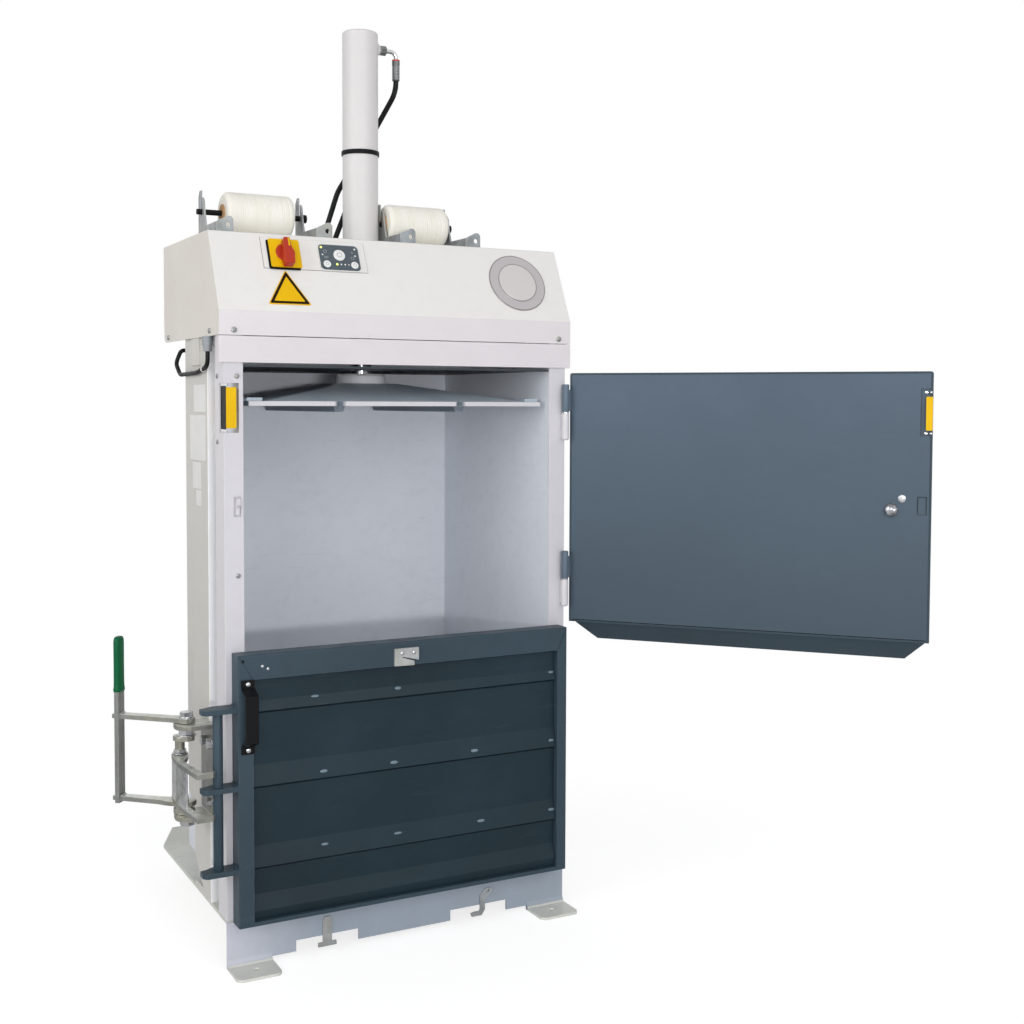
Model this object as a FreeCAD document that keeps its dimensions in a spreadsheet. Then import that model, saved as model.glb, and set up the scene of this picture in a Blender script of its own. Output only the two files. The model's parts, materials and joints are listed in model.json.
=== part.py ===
import FreeCAD, Part
import math
import os
import Sketcher

# Vertical recycling baler, millimetres. X runs across the front (right is +X), Y runs to
# the back, Z is up. The origin lies on the floor midway between the two front anchor holes.

doc = FreeCAD.newDocument("recycling_baler")
sheet = doc.addObject("Spreadsheet::Sheet", "Sizes")

SIZES = [
    # frame and chamber
    ("front_y", 37, "column faces behind the anchor hole line"),
    ("opening_w", 700, "clear width of the chamber at the front"),
    ("chamber_d", 500, "clear depth of the chamber"),
    ("chamber_taper", 20, "narrowing of each chamber side towards the back"),
    ("column_w", 40, "width of a front column"),
    ("column_d", 60, "depth of the column side returns"),
    ("column_lap", 18, "columns above the hood's lower edge"),
    ("wall_drop", 2, "chamber walls below the hood's lower edge"),
    ("sheet_t", 4, "frame sheet thickness"),
    ("floor_z", 100, "chamber floor height"),
    ("floor_t", 8, "floor plate thickness"),
    ("floor_d", 640, "floor plate depth behind the column faces"),
    ("floor_cut", 120, "length of the rear floor corner cut"),
    ("floor_cut_w", 50, "width of the rear floor corner cut"),
    ("ceiling_drop", 62, "chamber ceiling below the hood's lower edge"),
    ("ceiling_hole_r", 75, "ceiling hole round the ram"),
    # base
    ("skirt_z", 10, "clearance under the skirts"),
    ("skirt_notch_z", 33, "top of the skirt notches"),
    ("notch_in", 107, "inner side of a skirt notch"),
    ("notch_out", 245, "outer side of a skirt notch"),
    ("skirt_in", 128, "rear skirt sides inside the columns"),
    ("foot_w", 93, "front foot width"),
    ("foot_t", 6, "foot thickness"),
    ("foot_front", 38, "foot length in front of the anchor holes"),
    ("anchor_in", 49, "anchor hole inside the column's outer face"),
    ("anchor_r", 7, "anchor hole radius"),
    ("rear_foot_w", 90, "rear foot width"),
    ("rear_foot_d", 120, "rear foot depth"),
    # side posts and crosshead
    ("post_out", 2, "post face outside the columns"),
    ("post_t", 6, "post sheet thickness"),
    ("post_y", 110, "front of a post behind the column faces"),
    ("post_w", 171, "post width front to back"),
    ("post_head_w", 210, "width of the post head that carries the crosshead"),
    ("post_drop", 44, "posts below the hood top"),
    ("beam_rise", 38, "crosshead above the hood's lower edge"),
    ("beam_h", 90, "crosshead height"),
    ("beam_d", 126, "crosshead depth"),
    # hood
    ("hood_side", 10, "hood outside the columns"),
    ("hood_lip", 6, "hood face in front of the columns"),
    ("hood_z", 1272, "hood lower edge"),
    ("hood_front_h", 49, "height of the upright hood front"),
    ("hood_slope_h", 163, "height of the control slope"),
    ("hood_top_y", 70, "front edge of the hood top"),
    ("hood_d", 430, "hood rear behind the column faces"),
    ("hood_t", 3, "hood sheet thickness"),
    ("fascia_h", 52.5, "fascia height"),
    ("fascia_seam", 1.5, "joint between hood and fascia"),
    ("seat_gap", 0.3, "gap between a seated piece and its seat"),
    # cylinder and ram
    ("barrel_r", 40, "cylinder barrel radius"),
    ("bore_r", 33, "cylinder bore radius"),
    ("rod_r", 25, "piston rod radius"),
    ("run_fit", 0.05, "radial running clearance"),
    ("barrel_drop", 20, "barrel end below the crosshead"),
    ("barrel_spare", 77, "barrel length beyond the stroke"),
    ("stroke", 600, "ram stroke"),
    ("flange_r", 62, "cylinder flange radius"),
    ("platen_side", 15, "platen side to chamber wall"),
    ("platen_end", 13, "platen front and rear inside the chamber depth"),
    ("platen_drop", 78, "platen underside below the ceiling at rest"),
    ("platen_t", 10, "platen plate thickness"),
    ("boss_drop", 6, "platen boss below the ceiling at rest"),
    ("boss_r", 56, "platen boss radius"),
    ("strap_x", 138, "strap groove offset from the middle"),
    ("strap_w", 26, "strap groove width"),
    # doors
    ("hinge_in", 6, "loading door hinge inside the column's outer face"),
    ("hinge_y", 14, "loading door hinge axis in front of the columns"),
    ("knuckle_r", 8, "loading door knuckle radius"),
    ("pin_r", 4, "hinge pin radius"),
    ("door_over", 7, "closed loading door beyond the left column"),
    ("door_open", 131.5, "opening angle of the loading door at rest"),
    ("door_seam", 7, "joint between the loading door and the lower door"),
    ("door_drop", 3, "loading door below the ceiling"),
    ("door_in", 16.5, "loading door inner face from the hinge axis"),
    ("door_t", 16, "loading door thickness"),
    ("skin_t", 3, "door sheet thickness"),
    ("lip_drop", 42, "height of the loading door lip"),
    ("lip_out", 37, "outward reach of the loading door lip"),
    ("latch_in", 79, "latch axis from the loading door's free edge"),
    ("latch_up", 273, "latch axis above the loading door's lower edge"),
    ("switch_drop", 79, "door switch below the loading door's upper edge"),
    ("lower_in_l", 13, "lower door's left side inside the column"),
    ("lower_in_r", 16, "lower door's right side inside the column"),
    ("lower_z0", 95, "lower door lower edge"),
    ("lower_z1", 641, "lower door upper edge"),
    ("lower_t", 41, "lower door thickness"),
    ("door_gap", 1, "lower door rear face in front of the columns"),
    ("stile_w", 31, "lower door left stile width"),
    ("stile_r", 24, "lower door right stile width"),
    ("rail_h", 50, "lower door top rail height"),
    ("foot_rail_h", 8, "lower door bottom rail height"),
    ("lower_hinge_in", 8, "lower door hinge inside the column's outer face"),
    ("lower_hinge_y", 11, "lower door hinge axis in front of the columns"),
    ("lower_knuckle_r", 7, "lower door knuckle radius"),
    # door lock
    ("lock_rod_out", 22, "lock rod axis outside the column"),
    ("lock_rod_y", 20, "lock rod axis in front of the columns"),
    ("lock_rod_r", 10, "lock rod radius"),
    ("lever_out", 48, "lever axis outside the column"),
    ("lever_y", 118, "lever axis behind the column faces"),
    ("lever_shaft_r", 12, "lever shaft radius"),
    ("throw", 14, "eccentric throw"),
    ("crank_pin_r", 10, "crank pin radius"),
    ("crank_angle", 148.5, "crank direction at rest"),
    ("lever_angle", 137.8, "lever arm direction at rest"),
    ("lever_len", 153, "lever arm length"),
    ("claw_angle", 85.2, "claw direction below +X at rest"),
    ("claw_reach", 164.9, "crank pin to the claw hook"),
    ("support_t", 10, "lock support thickness"),
    # strap rolls
    ("roll_up", 58, "strap roll axis above the hood top"),
    ("roll_y", 235, "strap roll axis behind the column faces"),
    ("roll_r", 46, "strap roll radius"),
    ("core_r", 19, "strap core radius"),
    ("axle_r", 6, "strap axle radius"),
    ("bracket_t", 4, "strap bracket thickness"),
    # hydraulic hoses and conduit
    ("hose_r", 6, "hydraulic hose radius"),
    ("conduit_r", 4.5, "conduit radius"),
]

for row, (alias, number, note) in enumerate(SIZES, start=1):
    sheet.set("A%d" % row, note)
    sheet.set("B%d" % row, str(number))
    sheet.setAlias("B%d" % row, alias)


class Dim:
    """A number kept together with the sheet expression that gives it."""

    def __init__(self, value, text):
        self.value = float(value)
        self.text = text

    def _with(self, other, sign, value):
        return Dim(value, "(%s %s %s)" % (self.text, sign, dim(other).text))

    def __add__(self, other):
        return self._with(other, "+", self.value + dim(other).value)

    def __sub__(self, other):
        return self._with(other, "-", self.value - dim(other).value)

    def __mul__(self, other):
        return self._with(other, "*", self.value * dim(other).value)

    def __truediv__(self, other):
        return self._with(other, "/", self.value / dim(other).value)

    def __radd__(self, other):
        return dim(other) + self

    def __rsub__(self, other):
        return dim(other) - self

    def __rmul__(self, other):
        return dim(other) * self

    def __neg__(self):
        return Dim(-self.value, "(0 - %s)" % self.text)

    def __float__(self):
        return self.value


def dim(number):
    """Any number as a Dim."""
    if isinstance(number, Dim):
        return number
    return Dim(number, repr(round(float(number), 6)))


def bind(thing, path, size):
    """Give a property its size, by expression where the size comes from the sheet."""
    size = dim(size)
    if "Sizes." in size.text:
        thing.setExpression(path, size.text)
    elif "." in path:
        thing.setExpression(path, size.text)
    else:
        setattr(thing, path, size.value)


class Sizes:
    """The sheet's aliases as attributes."""


S = Sizes()
for alias, number, note in SIZES:
    setattr(S, alias, Dim(number, "Sizes." + alias))


# ---------------------------------------------------------------- construction helpers

PLANES = {"XY": "XY_Plane", "XZ": "XZ_Plane", "YZ": "YZ_Plane"}
TURNS = {"X": ((0, 1, 0), 90), "-X": ((0, 1, 0), -90), "Y": ((1, 0, 0), -90),
         "-Y": ((1, 0, 0), 90), "Z": ((0, 0, 1), 0), "-Z": ((1, 0, 0), 180)}


def place(thing, at=(0, 0, 0), axis="Z"):
    """Put a piece at a point with its local Z along the given axis."""
    spin, angle = TURNS[axis]
    turn = FreeCAD.Rotation(FreeCAD.Vector(*spin), angle)
    spot = FreeCAD.Vector(*[float(v) for v in at])
    thing.Placement = FreeCAD.Placement(spot, turn)
    for name, v in zip("xyz", at):
        if isinstance(v, Dim):
            thing.setExpression("Placement.Base." + name, v.text)
    return thing


def sketch(body, plane, offset, loops):
    """A sketch in a body's origin plane; a loop is a list of points or one circle (x, y, r)."""
    sk = body.newObject("Sketcher::SketchObject", "Sketch")
    for feature in body.Origin.OriginFeatures:
        if feature.Role == PLANES[plane]:
            sk.AttachmentSupport = [(feature, "")]
    sk.MapMode = "FlatFace"
    bind(sk, "AttachmentOffset.Base.z", offset)
    constraints, sizes = [], []

    def fix(kind, geo, point, size):
        constraints.append(Sketcher.Constraint(kind, -1, 1, geo, point, float(size)))
        sizes.append(size)

    for loop in loops:
        if isinstance(loop, tuple):
            centre = FreeCAD.Vector(float(loop[0]), float(loop[1]), 0)
            up = FreeCAD.Vector(0, 0, 1)
            geo = sk.addGeometry(Part.Circle(centre, up, float(loop[2])))
            fix("DistanceX", geo, 3, loop[0])
            fix("DistanceY", geo, 3, loop[1])
            constraints.append(Sketcher.Constraint("Radius", geo, float(loop[2])))
            sizes.append(loop[2])
            continue
        spots = [FreeCAD.Vector(float(x), float(y), 0) for x, y in loop]
        count = len(spots)
        lines = [Part.LineSegment(spots[i], spots[(i + 1) % count]) for i in range(count)]
        first = sk.addGeometry(lines)[0]
        for i in range(count):
            following = first + (i + 1) % count
            constraints.append(Sketcher.Constraint("Coincident", first + i, 2, following, 1))
            sizes.append(None)
            fix("DistanceX", first + i, 1, loop[i][0])
            fix("DistanceY", first + i, 1, loop[i][1])
    start = sk.ConstraintCount
    sk.addConstraint(constraints)
    for i, size in enumerate(sizes):
        if isinstance(size, Dim):
            sk.setExpression("Constraints[%d]" % (start + i), size.text)
    return sk


def pad(body, plane, loops, lo, hi):
    """Add the loops' area between two stations along the plane's normal axis."""
    offset = -dim(hi) if plane == "XZ" else lo
    feature = body.newObject("PartDesign::Pad", "Pad")
    feature.Profile = sketch(body, plane, offset, loops)
    bind(feature, "Length", dim(hi) - lo)
    feature.Profile[0].Visibility = False
    body.Tip = feature
    return feature


def pocket(body, plane, loops, lo, hi):
    """Take the loops' area away between two stations along the plane's normal axis."""
    offset = -dim(lo) if plane == "XZ" else hi
    feature = body.newObject("PartDesign::Pocket", "Pocket")
    feature.Profile = sketch(body, plane, offset, loops)
    bind(feature, "Length", dim(hi) - lo)
    body.Tip = feature
    return feature


def new_body(label):
    body = doc.addObject("PartDesign::Body", label)
    body.Label = label
    return body


def prism(label, plane, loops, lo, hi):
    """A body padded from loops; a single point list counts as one loop."""
    if isinstance(loops[0], tuple) and len(loops[0]) == 2:
        loops = [loops]
    body = new_body(label)
    pad(body, plane, loops, lo, hi)
    return body


def turned(label, profile, at=(0, 0, 0), axis="Z"):
    """A body turned from (radius, height) points about its local Z."""
    body = new_body(label)
    feature = body.newObject("PartDesign::Revolution", "Revolution")
    feature.Profile = sketch(body, "XZ", 0, [profile])
    feature.ReferenceAxis = (feature.Profile[0], ["V_Axis"])
    feature.Angle = 360
    body.Tip = feature
    return place(body, at, axis)


def rect(x0, y0, x1, y1):
    return [(x0, y0), (x1, y0), (x1, y1), (x0, y1)]


def block(label, x0, x1, y0, y1, z0, z1):
    """A box between stations."""
    box = doc.addObject("Part::Box", label)
    box.Label = label
    bind(box, "Length", dim(x1) - x0)
    bind(box, "Width", dim(y1) - y0)
    bind(box, "Height", dim(z1) - z0)
    return place(box, (x0, y0, z0))


def round_bar(label, at, axis, radius, length):
    bar = doc.addObject("Part::Cylinder", label)
    bar.Label = label
    bind(bar, "Radius", radius)
    bind(bar, "Height", length)
    return place(bar, at, axis)


def boolean(kind, label, items):
    result = doc.addObject(kind, label)
    result.Label = label
    if kind == "Part::Cut":
        result.Base, result.Tool = items
    elif kind == "Part::Compound":
        result.Links = items
    else:
        result.Shapes = items
    return result


def fuse(label, items):
    """One solid from several touching ones."""
    result = boolean("Part::MultiFuse", label, items)
    result.Refine = True
    return result


def cut(label, base, tools):
    tool = tools[0] if len(tools) == 1 else boolean("Part::MultiFuse", label + "_tools", tools)
    return boolean("Part::Cut", label, [base, tool])


def group(label, items):
    """Identical separate pieces under one name."""
    return boolean("Part::Compound", label, items)


def soften(body, radius, chosen, chamfer=False):
    """Round or chamfer the edges of a body's tip that the test picks."""
    doc.recompute()
    tip = body.Tip
    edges = ["Edge%d" % (i + 1) for i, e in enumerate(tip.Shape.Edges) if chosen(e)]
    kind = "PartDesign::Chamfer" if chamfer else "PartDesign::Fillet"
    feature = body.newObject(kind, "Chamfer" if chamfer else "Fillet")
    feature.Base = (tip, edges)
    bind(feature, "Size" if chamfer else "Radius", radius)
    body.Tip = feature
    return body


def along(axis):
    """A test for straight edges parallel to an axis."""
    way = {"X": FreeCAD.Vector(1, 0, 0), "Y": FreeCAD.Vector(0, 1, 0),
           "Z": FreeCAD.Vector(0, 0, 1)}[axis]

    def test(edge):
        if edge.Curve.TypeId != "Part::GeomLine":
            return False
        return abs(edge.Curve.Direction.dot(way)) > 0.999
    return test


def screw(label, at, axis, head_r, head_h):
    """A domed screw head, flat side on its seat."""
    profile = [(0, 0), (head_r, 0), (head_r, head_h * 0.4), (head_r * 0.8, head_h * 0.8),
               (head_r * 0.4, head_h), (0, head_h)]
    return turned(label, profile, at, axis)


def hexagon(cx, cy, across):
    """The corners of a hexagon with the given width across flats."""
    r = across / math.sqrt(3)
    return [(cx + r * math.cos(math.radians(a)), cy + r * math.sin(math.radians(a)))
            for a in range(0, 360, 60)]


def hex_bolt(label, at, axis, across, height):
    """A washer with a hexagon head on it, flat side on its seat."""
    body = new_body(label)
    pad(body, "XY", [(0, 0, across * 0.62)], 0, height * 0.25)
    pad(body, "XY", [hexagon(0, 0, across)], height * 0.25, height)
    return place(body, at, axis)


def spin_about(thing, x, y, angle):
    """Turn a piece built in place about a vertical axis."""
    turn = FreeCAD.Rotation(FreeCAD.Vector(0, 0, 1), float(angle))
    centre = FreeCAD.Vector(float(x), float(y), 0)
    move = FreeCAD.Placement(FreeCAD.Vector(), turn, centre)
    thing.Placement = move.multiply(thing.Placement)
    return thing


def wire_through(points, radii):
    """A wire of straight runs joined by tangent arcs at the inner points."""
    spots = [FreeCAD.Vector(*[float(v) for v in p]) for p in points]
    edges, start = [], spots[0]
    for i in range(1, len(spots) - 1):
        back = (spots[i - 1] - spots[i]).normalize()
        ahead = (spots[i + 1] - spots[i]).normalize()
        half = math.acos(max(-1.0, min(1.0, back.dot(ahead)))) / 2
        reach = radii[i - 1] / math.tan(half)
        first, last = spots[i] + back * reach, spots[i] + ahead * reach
        inward = (back + ahead).normalize()
        middle = spots[i] + inward * (radii[i - 1] / math.sin(half) - radii[i - 1])
        if (first - start).Length > 1e-6:
            edges.append(Part.LineSegment(start, first).toShape())
        edges.append(Part.Arc(first, middle, last).toShape())
        start = last
    edges.append(Part.LineSegment(start, spots[-1]).toShape())
    return Part.Wire(edges)


def cord(label, points, radii, radius):
    """A round cord swept along a wire with tangent bends; its size is read from the sheet."""
    path = wire_through(points, radii)
    first = path.Edges[0]
    heading = first.tangentAt(first.FirstParameter)
    ring = Part.Wire([Part.Circle(path.OrderedVertexes[0].Point, heading, radius).toShape()])
    shape = path.makePipeShell([ring], True, False)
    expected = math.pi * radius ** 2 * path.Length
    print("cord %s: length %.1f, bends %s, volume %.0f against %.0f"
          % (label, path.Length, radii, shape.Volume, expected))
    piece = doc.addObject("Part::Feature", label)
    piece.Label = label
    piece.Shape = shape
    return piece


NODES = []


def node(thing):
    NODES.append(thing)
    return thing


# Shared stations. Y values are counted back from the column faces with y_at().

def y_at(back):
    return S.front_y + back


def wall_x(back):
    """The outer face of a chamber side wall at a distance behind the column faces."""
    share = (dim(back) - S.sheet_t) / (S.chamber_d - S.sheet_t)
    return half_open + S.sheet_t - S.chamber_taper * share


half_open = S.opening_w / 2
half_w = half_open + S.column_w
post_x = half_w + S.post_out
hood_half = half_w + S.hood_side
ram_at = y_at(S.chamber_d / 2)
hood_break = S.hood_z + S.hood_front_h
hood_top = hood_break + S.hood_slope_h
ceiling = S.hood_z - S.ceiling_drop
beam_z = S.hood_z + S.beam_rise
barrel_z = beam_z - S.barrel_drop
barrel_top = barrel_z + S.stroke + S.barrel_spare
platen_z = ceiling - S.platen_drop
boss_top = ceiling - S.boss_drop
hinge_x = half_w - S.hinge_in
door_len = hinge_x + half_w + S.door_over
door_z0 = S.lower_z1 + S.door_seam
door_z1 = ceiling - S.door_drop
latch_z = door_z0 + S.latch_up
switch_z = door_z1 - S.switch_drop


# ---------------------------------------------------------------- base

def build_base():
    back = y_at(S.floor_d)
    side_end = back - S.floor_cut
    inset = half_w - S.floor_cut_w
    outline = [(-half_w, y_at(S.sheet_t)), (half_w, y_at(S.sheet_t)), (half_w, side_end),
               (inset, back), (-inset, back), (-half_w, side_end)]
    node(prism("base_plate", "XY", outline, S.floor_z - S.floor_t, S.floor_z))

    # front skirt with two notches, a strap slot over each and the two feet
    z0, zn, top = S.skirt_z, S.skirt_notch_z, S.floor_z - 5
    leg = half_w - S.foot_w
    skirt = [(-half_w, 0), (-leg, 0), (-leg, z0), (-S.notch_out, z0), (-S.notch_out, zn),
             (-S.notch_in, zn), (-S.notch_in, z0), (S.notch_in, z0), (S.notch_in, zn),
             (S.notch_out, zn), (S.notch_out, z0), (leg, z0), (leg, 0), (half_w, 0),
             (half_w, top), (-half_w, top)]
    body = new_body("front_skirt")
    pad(body, "XZ", [skirt], y_at(0), y_at(S.sheet_t))
    for side in (-1, 1):
        x0, x1 = (-half_w, -leg) if side < 0 else (leg, half_w)
        foot = [(-S.foot_front, 0), (y_at(S.sheet_t), 0), (y_at(S.sheet_t), S.foot_t + 12),
                (y_at(0), S.foot_t + 12), (y_at(-3), S.foot_t + 4), (y_at(-8), S.foot_t),
                (-S.foot_front, S.foot_t)]
        pad(body, "YZ", [foot], x0, x1)
    anchor_x = half_w - S.anchor_in
    for side in (-1, 1):
        pocket(body, "XY", [(side * anchor_x, 0, S.anchor_r)], 0, S.foot_t)
    soften(body, 14, lambda e: along("Z")(e) and e.BoundBox.YMax < -30)
    node(body)

    # recessed side and rear skirts of one bent sheet, and the rear feet under them
    out = half_w - S.skirt_in
    rear = back - 20
    t = S.sheet_t
    start = y_at(S.column_d) + 10
    sheet_line = [(-out, start), (-out, rear), (out, rear), (out, start), (out - t, start),
                  (out - t, rear - t), (-out + t, rear - t), (-out + t, start)]
    feet = [prism("rear_sheet", "XY", [sheet_line], S.skirt_z, S.floor_z - S.floor_t)]
    for side, name in ((-1, "left"), (1, "right")):
        x0 = -out + 14 if side < 0 else out - 14 - S.rear_foot_w
        y0 = rear - t - S.rear_foot_d
        pads = new_body("rear_foot_" + name)
        pad(pads, "XY", [rect(x0, y0, x0 + S.rear_foot_w, y0 + S.rear_foot_d)], 0, S.foot_t)
        leg_x = x0 + S.rear_foot_w / 2
        pad(pads, "XY", [rect(leg_x - 25, y0 + 30, leg_x + 25, y0 + 34)], S.foot_t,
            S.floor_z - S.floor_t)
        pad(pads, "XY", [rect(leg_x - 2, y0 + 34, leg_x + 2, y0 + S.rear_foot_d - 10)],
            S.foot_t, S.floor_z - S.floor_t)
        feet.append(pads)
    node(group("rear_skirt", feet))

    # strap hooks that hang in the skirt notches
    y0, y1 = y_at(-4), y_at(0)
    tee = new_body("strap_hook_tee")
    pad(tee, "XZ", [[(-188, 19), (-198, 19), (-198, 10), (-158, 10), (-158, 19), (-168, 19),
                     (-168, 62), (-172, 72), (-184, 72), (-188, 62)]], y0, y1)
    bent = new_body("strap_hook_bent")
    pad(bent, "XZ", [[(155, 18), (158, 10), (182, 10), (190, 22), (190, 46), (207, 60),
                      (207, 68), (192, 68), (178, 54), (178, 24), (176, 20), (164, 20)],
                     (198.5, 63, 2.5)], y0, y1)
    node(group("strap_hooks", [tee, bent]))


# ---------------------------------------------------------------- columns, chamber, posts

def build_frame():
    t = S.sheet_t
    z0, z1 = S.floor_z, S.hood_z + S.column_lap
    front, ret = y_at(0), y_at(S.column_d)
    for side, name in ((-1, "column_left"), (1, "column_right")):
        body = new_body(name)
        outline = [(side * half_open, front), (side * half_w, front), (side * half_w, ret),
                   (side * (half_w - t), ret), (side * (half_w - t), front + t),
                   (side * half_open, front + t)]
        pad(body, "XY", [outline], z0, z1)
        if side < 0:
            # cut-out of the door switch, open on the outer corner, and the catch slot
            cut_out = rect(-half_w - 1, switch_z - 49, -half_w + 31, switch_z + 49)
            pocket(body, "XZ", [cut_out], front - 1, front + 32)
            slot = rect(-half_w + 19.5, latch_z - 9, -half_w + 33.5, latch_z + 31)
            pocket(body, "XZ", [slot], front - 1, front + t + 1)
        node(body)

    # chamber walls, a little closer together at the back than at the front
    wall_top = S.hood_z - S.wall_drop
    back = y_at(S.chamber_d)
    walls, posts = [], []
    for side, name in ((-1, "side_wall_left"), (1, "side_wall_right")):
        body = new_body(name)
        rear = half_open - S.chamber_taper
        outline = [(side * half_open, front + t), (side * (half_open + t), front + t),
                   (side * (rear + t), back), (side * rear, back)]
        pad(body, "XY", [outline], z0, wall_top)
        walls.append(body)
    node(group("chamber_sides", walls))
    body = new_body("chamber_back")
    edge = half_open - S.chamber_taper + t
    pad(body, "XY", [rect(-edge, back, edge, back + t)], z0, wall_top)
    for x in (-0.5, 0.5):
        rib = [(S.opening_w * x * 0.5 - 30, back + t), (S.opening_w * x * 0.5 - 20, back + t + 24),
               (S.opening_w * x * 0.5 + 20, back + t + 24), (S.opening_w * x * 0.5 + 30, back + t)]
        pad(body, "XY", [rib], z0 + 20, wall_top - 20)
    node(body)
    body = new_body("chamber_ceiling")
    rear = half_open - S.chamber_taper
    span = [(-half_open, front + t), (half_open, front + t), (rear, back), (-rear, back)]
    pad(body, "XY", [span, (0, ram_at, S.ceiling_hole_r)], ceiling, ceiling + t)
    node(body)

    # side posts: channels open towards the chamber, with a wider head inside the hood
    y0, y1 = y_at(S.post_y), y_at(S.post_y + S.post_w)
    pt = S.post_t
    neck = S.hood_z + 12
    for side, name in ((-1, "post_left"), (1, "post_right")):
        inner = side * (half_open + t)
        outer = side * post_x
        web = side * (post_x - pt)
        body = new_body(name)
        for width, low, high in ((S.post_w, z0, neck), (S.post_head_w, neck, hood_top - S.post_drop)):
            backs = (S.post_y + width, S.post_y + width - pt, S.post_y + pt, S.post_y)
            touch = [(side * wall_x(back), y_at(back)) for back in backs]
            outline = [touch[3], (outer, y0), (outer, y_at(backs[0])), touch[0], touch[1],
                       (web, y_at(backs[1])), (web, y0 + pt), touch[2]]
            pad(body, "XY", [outline], low, high)
        lo, hi = (outer - 1, inner + 1) if side < 0 else (inner - 1, outer + 1)
        notch = [(y1 - 50, z0 - 1), (y1 + 1, z0 - 1), (y1 + 1, z0 + 200), (y1 - 14, z0 + 190),
                 (y1 - 50, z0 + 150)]
        pocket(body, "YZ", [notch], lo, hi)
        lo, hi = (outer - 1, web + 1) if side < 0 else (web - 1, outer + 1)
        window = [(y0 + 55, z0 + 12), (y0 + 135, z0 + 12), (y0 + 135, z0 + 78)]
        pocket(body, "YZ", [window], lo, hi)
        # angle that carries the hood side
        hood_in = side * (hood_half - S.hood_t - S.seat_gap)
        lo, hi = (hood_in, outer) if side < 0 else (outer, hood_in)
        pad(body, "YZ", [rect(y0 + 46, S.hood_z - 57, y0 + 104, S.hood_z + 30)], lo, hi)
        posts.append(body)
    node(group("side_posts", posts))

    # crosshead: a box beam between the posts
    reach = post_x - pt
    half_d = S.beam_d / 2
    y0, y1 = ram_at - half_d, ram_at + half_d
    outer_box = rect(y0, beam_z, y1, beam_z + S.beam_h)
    inner_box = rect(y0 + 8, beam_z + 8, y1 - 8, beam_z + S.beam_h - 8)
    body = new_body("crosshead_beam")
    pad(body, "YZ", [outer_box, inner_box], -reach, reach)
    pocket(body, "XY", [(0, ram_at, S.barrel_r + S.seat_gap)], beam_z - 1,
           beam_z + S.beam_h + 1)
    node(body)


# ---------------------------------------------------------------- hood and controls

def hood_profile(inset):
    """The hood's side outline in Y and Z, pulled in by a sheet thickness."""
    slope_y = y_at(S.hood_top_y)
    return [(y_at(-S.hood_lip) + inset, S.hood_z), (y_at(-S.hood_lip) + inset, hood_break),
            (slope_y + inset, hood_top - inset), (y_at(S.hood_d) - inset, hood_top - inset),
            (y_at(S.hood_d) - inset, S.hood_z)]


rise = float(S.hood_slope_h)
run = float(S.hood_top_y + S.hood_lip)
slope_angle = math.degrees(math.atan2(rise, run))
CONTROLS_UP = 120


def on_slope(thing, x, up):
    """Lay a piece drawn flat at the origin (local Z out of the sheet) on the control slope."""
    y = float(y_at(-S.hood_lip)) + up / rise * run
    turn = FreeCAD.Rotation(FreeCAD.Vector(1, 0, 0), slope_angle)
    spot = FreeCAD.Vector(x, y, float(hood_break) + up)
    thing.Placement = FreeCAD.Placement(spot, turn)
    return thing


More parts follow.
